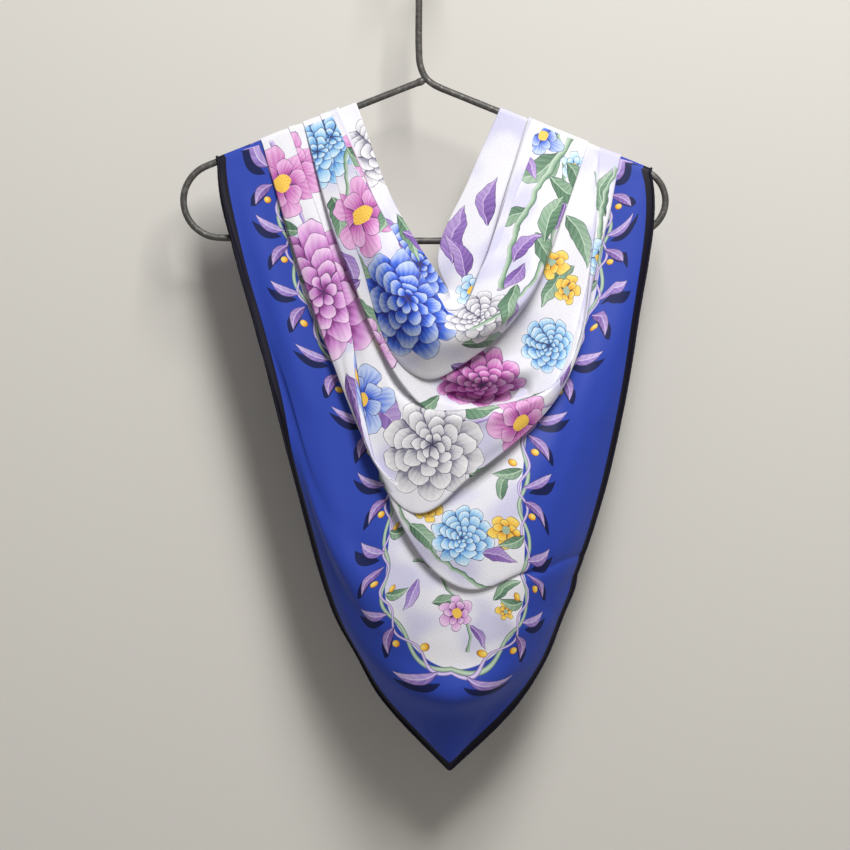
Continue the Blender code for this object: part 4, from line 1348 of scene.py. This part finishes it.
# %% The table of motifs
MOTIFS = (
    # outer band, beside the left shoulder and down its fold
    ("opl", stem, (178, 564), (141, 381), 30, 2.0, "green"),
    ("opl", stem, (126, 545), (174, 304), -22, 1.5, "lilac"),
    ("op", leaf, (149, 550), -68, 46, 19, "green", 0.12),
    ("op", leaf, (128, 460), -107, 40, 15, "purple", -0.1),
    ("op", leaf, (157, 466), 154, 34, 13, "green", 0.1),
    ("opl", bloom, (138, 509), 22, 33, 6, "magenta"),
    ("opl", leaf, (180, 365), -141, 50, 20, "green", 0.1),
    ("opl", leaf, (205, 348), -74, 62, 26, "purple", 0.08),
    ("oplm", dahlia, (180, 418), 14, 62, 10, "pink"),
    ("l", bloom, (204, 333), 17, 30, 5, "blue"),
    ("opl", leaf, (279, 298), -46, 52, 20, "green", -0.1),
    # the lower swag
    ("l", leaf, (210, 282), -47, 44, 18, "green", 0.1),
    ("l", leaf, (261, 233), -69, 48, 19, "green", 0.1),
    ("l", leaf, (291, 225), -58, 46, 17, "purple", -0.1),
    ("l", stem, (209, 265), (352, 216), -25, 1.6, "lilac"),
    ("l", dahlia, (244, 268), -31, 46, 10, "grey"),
    ("l", bloom, (318, 239), -34, 30, 5, "magenta"),
    ("l", leaf, (333, 219), -42, 38, 14, "blue", 0.1),
    ("l", leaf, (361, 223), -16, 34, 12, "purple", 0.1),
    ("lo", leaf, (475, 116), -51, 44, 16, "green", 0.15),
    ("lo", stem, (501, 78), (398, 179), 14, 1.8, "green"),
    ("lo", bloom, (449, 144), -132, 17, 5, "sky"),
    # below the lowest fold
    ("pr", stem, (213, 232), (164, 108), 14, 1.5, "green"),
    ("pr", leaf, (200, 216), -123, 36, 14, "green", 0.1),
    ("pr", dahlia, (202, 169), -75, 27, 10, "sky"),
    ("pr", leaf, (189, 151), -85, 34, 13, "purple", 0.1),
    ("pr", bloom, (215, 135), -65, 15, 5, "gold"),
    ("pr", bloom, (217, 204), -42, 13, 5, "gold"),
    ("pr", leaf, (239, 146), -5, 30, 11, "green", 0.1),
    ("b", stem, (91, 163), (84, 73), -16, 1.3, "green"),
    ("b", leaf, (84, 146), -154, 28, 10, "lilac", 0.1),
    ("b", leaf, (85, 125), -44, 30, 11, "green", 0.1),
    ("b", bloom, (95, 105), -38, 15, 6, "pink"),
    ("b", leaf, (98, 89), -99, 24, 9, "purple", 0.1),
    ("b", leaf, (126, 92), -14, 30, 11, "green", 0.1),
    ("b", bloom, (127, 77), -46, 9, 5, "gold"),
    # middle band
    ("mc", dahlia, (245, 548), 21, 34, 10, "sky"),
    ("m", leaf, (269, 515), -60, 40, 15, "green", 0.1),
    ("m", leaf, (291, 472), -53, 40, 15, "purple", 0.1),
    ("m", leaf, (319, 436), -62, 44, 16, "green", 0.1),
    ("m", bloom, (327, 398), -17, 24, 5, "pink"),
    ("k", stem, (528, 168), (348, 264), -20, 1.7, "green"),
    ("k", stem, (361, 233), (485, 203), 12, 1.3, "purple"),
    ("k", leaf, (512, 214), -176, 46, 17, "green", 0.1),
    ("k", leaf, (470, 223), 137, 44, 15, "green", -0.1),
    ("k", bloom, (476, 239), -100, 15, 5, "gold"),
    ("k", bloom, (451, 230), -69, 12, 5, "gold"),
    ("k", dahlia, (405, 250), -89, 24, 10, "sky"),
    ("k", leaf, (381, 274), 122, 36, 14, "purple", 0.1),
    ("mk", dahlia, (366, 305), -69, 38, 10, "magenta"),
    ("mk", leaf, (338, 331), 137, 34, 13, "green", 0.1),
    # cowl
    ("c", stem, (250, 560), (318, 418), -18, 1.8, "green"),
    ("c", leaf, (267, 552), -16, 44, 16, "purple", 0.1),
    ("c", leaf, (300, 541), -48, 44, 17, "green", 0.1),
    ("c", leaf, (307, 485), -60, 54, 22, "green", -0.1),
    ("cmn", bloom, (310, 510), 35, 36, 6, "magenta"),
    ("cmn", leaf, (318, 452), -150, 40, 15, "purple", 0.1),
    ("cn", leaf, (346, 504), -55, 40, 15, "purple", 0.1),
    ("cn", leaf, (319, 533), -68, 36, 14, "green", 0.1),
    ("c", dahlia, (363, 437), 5, 54, 10, "blue"),
    ("ce", leaf, (395, 385), -46, 46, 18, "green", 0.1),
    ("ce", leaf, (378, 370), -73, 44, 17, "purple", 0.1),
    ("ce", dahlia, (421, 403), -61, 30, 10, "grey"),
    ("e", stem, (612, 391), (407, 395), -12, 1.8, "green"),
    ("e", stem, (619, 408), (483, 255), 16, 1.2, "purple"),
    ("e", leaf, (592, 389), 129, 50, 20, "green", 0.12),
    ("e", leaf, (568, 397), -106, 44, 17, "green", -0.12),
    ("e", leaf, (538, 408), 123, 44, 17, "green", 0.12),
    ("e", leaf, (515, 397), -117, 54, 21, "green", -0.1),
    ("e", leaf, (588, 423), -147, 28, 10, "purple", 0.1),
    ("e", leaf, (550, 378), 170, 30, 11, "purple", 0.1),
    ("e", leaf, (486, 397), 161, 36, 13, "purple", 0.1),
    ("e", bloom, (581, 375), -80, 14, 6, "sky"),
    ("e", leaf, (446, 399), -117, 34, 13, "purple", 0.1),
    ("e", stem, (608, 377), (455, 406), 18, 2.4, "green"),
    ("e", leaf, (584, 383), -144, 50, 20, "green", 0.1),
    ("e", leaf, (510, 388), -10, 46, 18, "green", 0.1),
    ("e", leaf, (483, 408), -28, 36, 13, "purple", 0.1),
    ("e", leaf, (463, 394), -156, 40, 15, "green", -0.1),
    ("e", bloom, (604, 403), -81, 18, 5, "blue"),
    # neckline band
    ("n", leaf, (334, 541), -53, 44, 16, "green", 0.1),
    ("n", leaf, (375, 494), -58, 48, 18, "purple", 0.1),
    ("n", dahlia, (356, 551), 25, 34, 8, "grey"),
    ("n", dahlia, (415, 460), 5, 40, 10, "blue"),
    ("n", leaf, (391, 501), -59, 46, 18, "green", 0.1),
    ("n", leaf, (399, 486), -29, 40, 15, "purple", 0.1),
    ("n", leaf, (479, 408), -37, 52, 20, "purple", 0.1),
    ("n", leaf, (459, 403), 0, 46, 16, "purple", -0.1),
    ("n", leaf, (497, 367), -31, 44, 15, "purple", 0.1),
    ("n", bloom, (449, 402), -114, 14, 5, "sky"),
)

# %% Motifs on the tails
# The tails, seen from behind: the right one is printed as the left one's mirror image.
TAIL_MOTIFS = (
    (dahlia, (150, 640), 40, 52, 9, "pink"),
    (leaf, (194, 622), -30, 50, 20, "green"),
    (bloom, (96, 730), 0, 34, 6, "blue"),
    (leaf, (140, 712), -30, 50, 20, "green"),
    (dahlia, (240, 640), 0, 40, 8, "grey"),
    (leaf, (284, 622), -30, 50, 20, "green"),
    (bloom, (190, 712), 20, 36, 5, "magenta"),
    (leaf, (234, 694), -30, 50, 20, "green"),
)
for kind, place, turn, *rest in TAIL_MOTIFS:
    mirrored = 90 - turn if kind is leaf else turn
    MOTIFS += (("t", kind, place, turn, *rest), ("u", kind, place[::-1], mirrored, *rest))
print(len(MOTIFS), "motifs")

# %% The border with its vine
HEM_BAND = 6.6
BORDER_LEFT, BORDER_RIGHT = 61, 57      # widths of the blue border beside the hanging point
PANEL_ROUND = 85.0      # radius of the white panel's corner
VINE_STEP = 58.0        # from one pair of vine leaves to the next


def panel_distance(s, t):
    """How far inside the white panel a place is. The panel's corner is round."""
    across = s - t.step(280, 440).fused(-34, t.step(140, 260).fused(20, BORDER_LEFT))
    up = t - s.step(300, 450).fused(-48, s.step(140, 280).fused(31, BORDER_RIGHT))
    corner_a, corner_b = (PANEL_ROUND - across).most(0), (PANEL_ROUND - up).most(0)
    return PANEL_ROUND - (corner_a * corner_a + corner_b * corner_b) ** 0.5


def joined(x, y):
    """A vector from two numbers."""
    return x.node("CombineXYZ", {}, {0: x, 1: y})


def shaded(colour, here, pen, width, bend):
    """The shadow that a vine leaf throws on the blue."""
    inside = leaf_shape(here, width, bend)[3] / pen
    return colour.mix(SHADOW, inside.step(0, 0.5) * 0.85)


VineLeaf = namedtuple("VineLeaf", "foot turn size width dye bend")
VINE_PAIR = (VineLeaf(4, 38, 28, 9, "lilac", -0.14), VineLeaf(-9, -44, 25, 8.5, "purple", 0.14))
INNER_LEAF = VineLeaf(20, -150, 24, 9, "green", 0.1)
TENDRILS = ((1, 0.0, 1.6, "green"), (1.5, 2.5, 1.1, "lilac"))      # waves, phase, half width, dye
TENDRIL_SWING = 3.2
BERRIES = ((-22, 7), (22, -8))          # place along the step, distance outward
BERRY_SIZE = 3.1
SHADOW_FALL = (4.5, -5.0, 0)
GONE = 800                              # moves a leaf far off the cloth


def vine(colour, s, t, inside):
    """Two tendrils wound along the panel's edge, with paired leaves and berries."""
    along = s.most(t)
    step = along / VINE_STEP
    chance = (step.math("FLOOR") * 12.9898).math("SINE").fused(43.7, 0).math("FRACT")
    there = step.math("FRACT").fused(VINE_STEP, -VINE_STEP / 2)
    outward = inside * -1
    near_point = along.step(78, 72) * GONE      # no leaf tips beyond the panel's corner
    spot = joined(chance.fused(-4, outward + 1) - near_point, chance.fused(5, there - 2.5))
    below = spot.node("VectorMath", {"operation": "SUBTRACT"}, {0: spot, 1: SHADOW_FALL},
                      out="Vector")
    for one in VINE_PAIR:
        colour = press(colour, local(below, (0, one.foot), one.turn, one.size), shaded,
                       {"Pen": PEN / one.size, "Width": one.width / one.size, "Bend": one.bend})
    for waves, phase, half, dye in TENDRILS:
        wave = along.fused(TAU / VINE_STEP * waves, phase).math("SINE")
        off = (wave.fused(-TENDRIL_SWING, inside) + 1).math("ABSOLUTE")
        body = tinted(off.fused(-0.5 / half, 0.8), dye).mix(INK, off.step(half - 0.5, half) * 0.7)
        colour = colour.mix(body, off.step(half + 0.2, half - 0.2))
    inner = joined(outward - along.step(140, 110) * GONE, there)     # none near the corner
    for here, one in ((spot, VINE_PAIR[0]), (spot, VINE_PAIR[1]), (inner, INNER_LEAF)):
        colour = leaf(colour, here, (0, one.foot), one.turn, one.size, one.width, one.dye,
                      one.bend, veins=5)
    for foot, out in BERRIES:
        colour = berry(colour, spot, (out, foot), BERRY_SIZE, "gold")
    return colour


# %% One material for each screen
DRIFT = 12              # how far the cloth's own pull bends the drawn lines
BORDERED = "boprtu"     # the screens that reach the border


def silk(name, letter):
    """The printed silk of one screen."""
    made, shader, start = material(name)
    flat = start.node("UVMap", {"uv_map": "flat"}, out="UV")
    flat = flat.node("VectorMath", {"operation": "SCALE"}, {0: flat, "Scale": SQUARE}, out="Vector")
    drift = start.node("TexNoise", {}, {"Vector": flat, "Scale": 0.045, "Detail": 2.0,
                                        "Roughness": 0.5}, out="Color")
    drawn = flat.node("VectorMath", {"operation": "MULTIPLY_ADD"},
                      {0: drift, 1: (DRIFT, DRIFT, 0), 2: flat}, out="Vector")
    drawn = drawn.node("VectorMath", {"operation": "SUBTRACT"},
                       {0: drawn, 1: (DRIFT / 2, DRIFT / 2, 0)}, out="Vector")
    ground = start.node("RGB")
    ground.socket.default_value = (*WHITE, 1)
    wash = start.node("TexNoise", {}, {"Vector": flat, "Scale": 0.02, "Detail": 1.0}, out=0)
    colour = ground.mix(WASH, wash.step(0.46, 0.66) * 0.75)
    if letter in BORDERED:
        s, t, _ = start.node("Attribute", {"attribute_name": "border"}, out="Vector").parts()
        inside = panel_distance(s, t)
    count = 0
    for screens, kind, *row in MOTIFS:
        if letter in screens:
            colour, count = kind(colour, drawn, *row), count + 1
    if letter in BORDERED:
        colour = colour.mix(ROYAL, inside.step(0.4, -0.4))
        colour = vine(colour, s, t, inside)
        colour = colour.mix(NAVY, s.least(t).step(HEM_BAND + 0.3, HEM_BAND - 0.3))
    grain = start.node("TexNoise", {}, {"Vector": flat, "Scale": 0.9, "Detail": 2.0}, out=0)
    colour = colour.mix((0, 0, 0), grain.step(0.4, 0.75) * 0.12)
    feed(shader, Base_Color=colour, Roughness=0.5, Specular_IOR_Level=0.2)
    print(f"{name}: {count} motifs, {sum(counted(node) for node in made.node_tree.nodes)} nodes")
    return made


def counted(node):
    """A node counts as one, and a group as the nodes that it holds."""
    return len(node.node_tree.nodes) - 2 if node.type == "GROUP" else 1


# %% Print both halves, and dye the hems
for name, letter in zip(SCREENS, "bolmcnprketu"):
    printed = silk("silk_" + name, letter)
    for piece in (silk_front, silk_back):
        piece.data.materials.append(printed)
print(len(STAMPS), "stamps:", ", ".join(STAMPS))

navy, shader, _ = material("silk_hem")
feed(shader, Base_Color=(*NAVY, 1), Roughness=0.6, Specular_IOR_Level=0.2)
for piece in hems.values():
    piece.data.materials.append(navy)

# %% [markdown]
# ## Iron from the forge
# Forged iron keeps a thin dark scale, knocked off in spots where the hammer hit, so the bare
# metal shows through and shines. Two noises give this: a coarse one for the spots and a fine
# one for the grain, which also raises the skin a little.

# %% Iron
iron, shader, start = material("forged_iron")
place = start.node("TexCoord", out="Object")
spots = start.node("TexNoise", {}, {"Vector": place, "Scale": 260.0, "Detail": 3.0}, out=0)
grain = start.node("TexNoise", {}, {"Vector": place, "Scale": 900.0, "Detail": 2.0}, out=0)
bare = spots.step(0.5, 0.7)
scale_colour, metal_colour = dyes((84, 82, 79), (142, 139, 134))
skin = start.node("RGB")
skin.socket.default_value = (*scale_colour, 1)
skin = skin.mix(metal_colour, bare * 0.45).mix((0, 0, 0), grain.step(0.45, 0.7) * 0.2)
bump = start.node("Bump", {}, {"Strength": 0.5, "Distance": 0.0004,
                               "Height": spots.fused(1.5, grain)})
feed(shader, Base_Color=skin, Metallic=0.25, Roughness=bare.fused(-0.12, 0.48), Normal=bump)
forged_rod.data.materials.append(iron)

# %% [markdown]
# ## The studio
# A pale wall just behind the hanger catches its soft shadow, and a pale floor lies below.
# The camera stands level with the cloth's middle, far away with a long lens, as a shop's
# studio does to keep a hanging piece square and true. The wall can be seen through from
# behind, so that the back of the cloth can be looked at too.

# %% Wall and floor
FRAME_SIDE = 0.7256
DISTANCE = 5.0
SENSOR = 36             # millimetres
MIDDLE = Vector((0.0009, 0, -0.447))
WALL_Y, WALL_TOP = 0.075, 3
FLOOR_Z = -2.6
STUDIO_X = (-4, 4)
STUDIO_Y = (-6, 6)
scene = bpy.context.scene


def stage_sheet(name, corners, colour, see_through=False):
    """A plain sheet of the studio: not a piece of the object."""
    mesh = bpy.data.meshes.new(name)
    mesh.from_pydata(corners, [], [(0, 1, 2, 3)])
    thing = bpy.data.objects.new(name, mesh)
    scene.collection.objects.link(thing)
    made, shader, _ = material(name)
    feed(shader, Base_Color=(*linear(colour), 1), Roughness=0.9)
    if see_through:
        output = made.node_tree.nodes["Material Output"]
        back = Dye(made.node_tree.nodes.new("ShaderNodeNewGeometry").outputs["Backfacing"])
        clear = back.node("BsdfTransparent")
        mixed = back.node("MixShader", {}, {0: back, 1: Dye(shader.outputs[0]), 2: clear})
        made.node_tree.links.new(mixed.socket, output.inputs["Surface"])
    mesh.materials.append(made)


BOTH_X = (*STUDIO_X, *STUDIO_X[::-1])
stage_sheet("studio_wall", [*zip(BOTH_X, (WALL_Y,) * 4, (FLOOR_Z, FLOOR_Z, WALL_TOP, WALL_TOP))],
            (214, 211, 204), see_through=True)
stage_sheet("studio_floor", [*zip(BOTH_X, np.repeat(STUDIO_Y, 2).tolist(), (FLOOR_Z,) * 4)],
            (222, 219, 213))

# %% Camera
camera = bpy.data.objects.new("camera", bpy.data.cameras.new("camera"))
scene.collection.objects.link(camera)
camera.data.sensor_width = SENSOR
camera.data.lens = SENSOR * DISTANCE / FRAME_SIDE
camera.location = MIDDLE + Vector((0, -DISTANCE - 0.04, 0))
camera.rotation_euler = (math.pi / 2, 0, 0)
camera.data.clip_end = 50
scene.camera = camera

# %% Lights and air
AIM = Vector((0, 0, -0.4))
WARM, PLAIN = (1.0, 0.995, 0.985), (1.0, 1.0, 1.0)
LIGHTS = (("key_light", (0.40, -1.49, 1.44), 32, 0.6, WARM),
          ("low_light", (0.51, -1.90, 0.98), 29, 0.6, WARM),
          ("back_light", (-1.0, 2.2, 0.6), 14, 1.5, PLAIN))
for name, place, power, size, colour in LIGHTS:
    light = bpy.data.lights.new(name, "AREA")
    light.energy, light.size, light.color = power, size, colour
    lamp = bpy.data.objects.new(name, light)
    scene.collection.objects.link(lamp)
    lamp.location = place
    lamp.rotation_euler = (AIM - Vector(place)).to_track_quat("-Z", "Y").to_euler()
world = bpy.data.worlds.new("studio_air")
world.use_nodes = True
world.node_tree.nodes["Background"].inputs["Color"].default_value = (*linear((240, 239, 238)), 1)
world.node_tree.nodes["Background"].inputs["Strength"].default_value = 0.25
scene.world = world
scene.view_settings.view_transform = "Standard"
print("camera", tuple(round(c, 3) for c in camera.location), "lens", round(camera.data.lens), "mm")

# %% [markdown]
# ## Where each piece rides
# The last cell hangs the new pieces on the body they ride on, and hides the imported solids that
# they replace. Half of the square, a triangle, shows from the front, and half from behind.

# %% Hang the pieces on their body and hide the solids they replace
CLOTH_NODES = ("blue_hem_panel", "outer_band", "lower_swag", "middle_band", "cowl_swag",
               "neckline_band", "left_tail", "right_tail")
for piece in (silk_front, silk_back, *hems.values()):
    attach(piece, "root")
    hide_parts(*CLOTH_NODES)
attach(forged_rod, "root")
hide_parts(*[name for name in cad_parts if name.startswith("hanger_")])
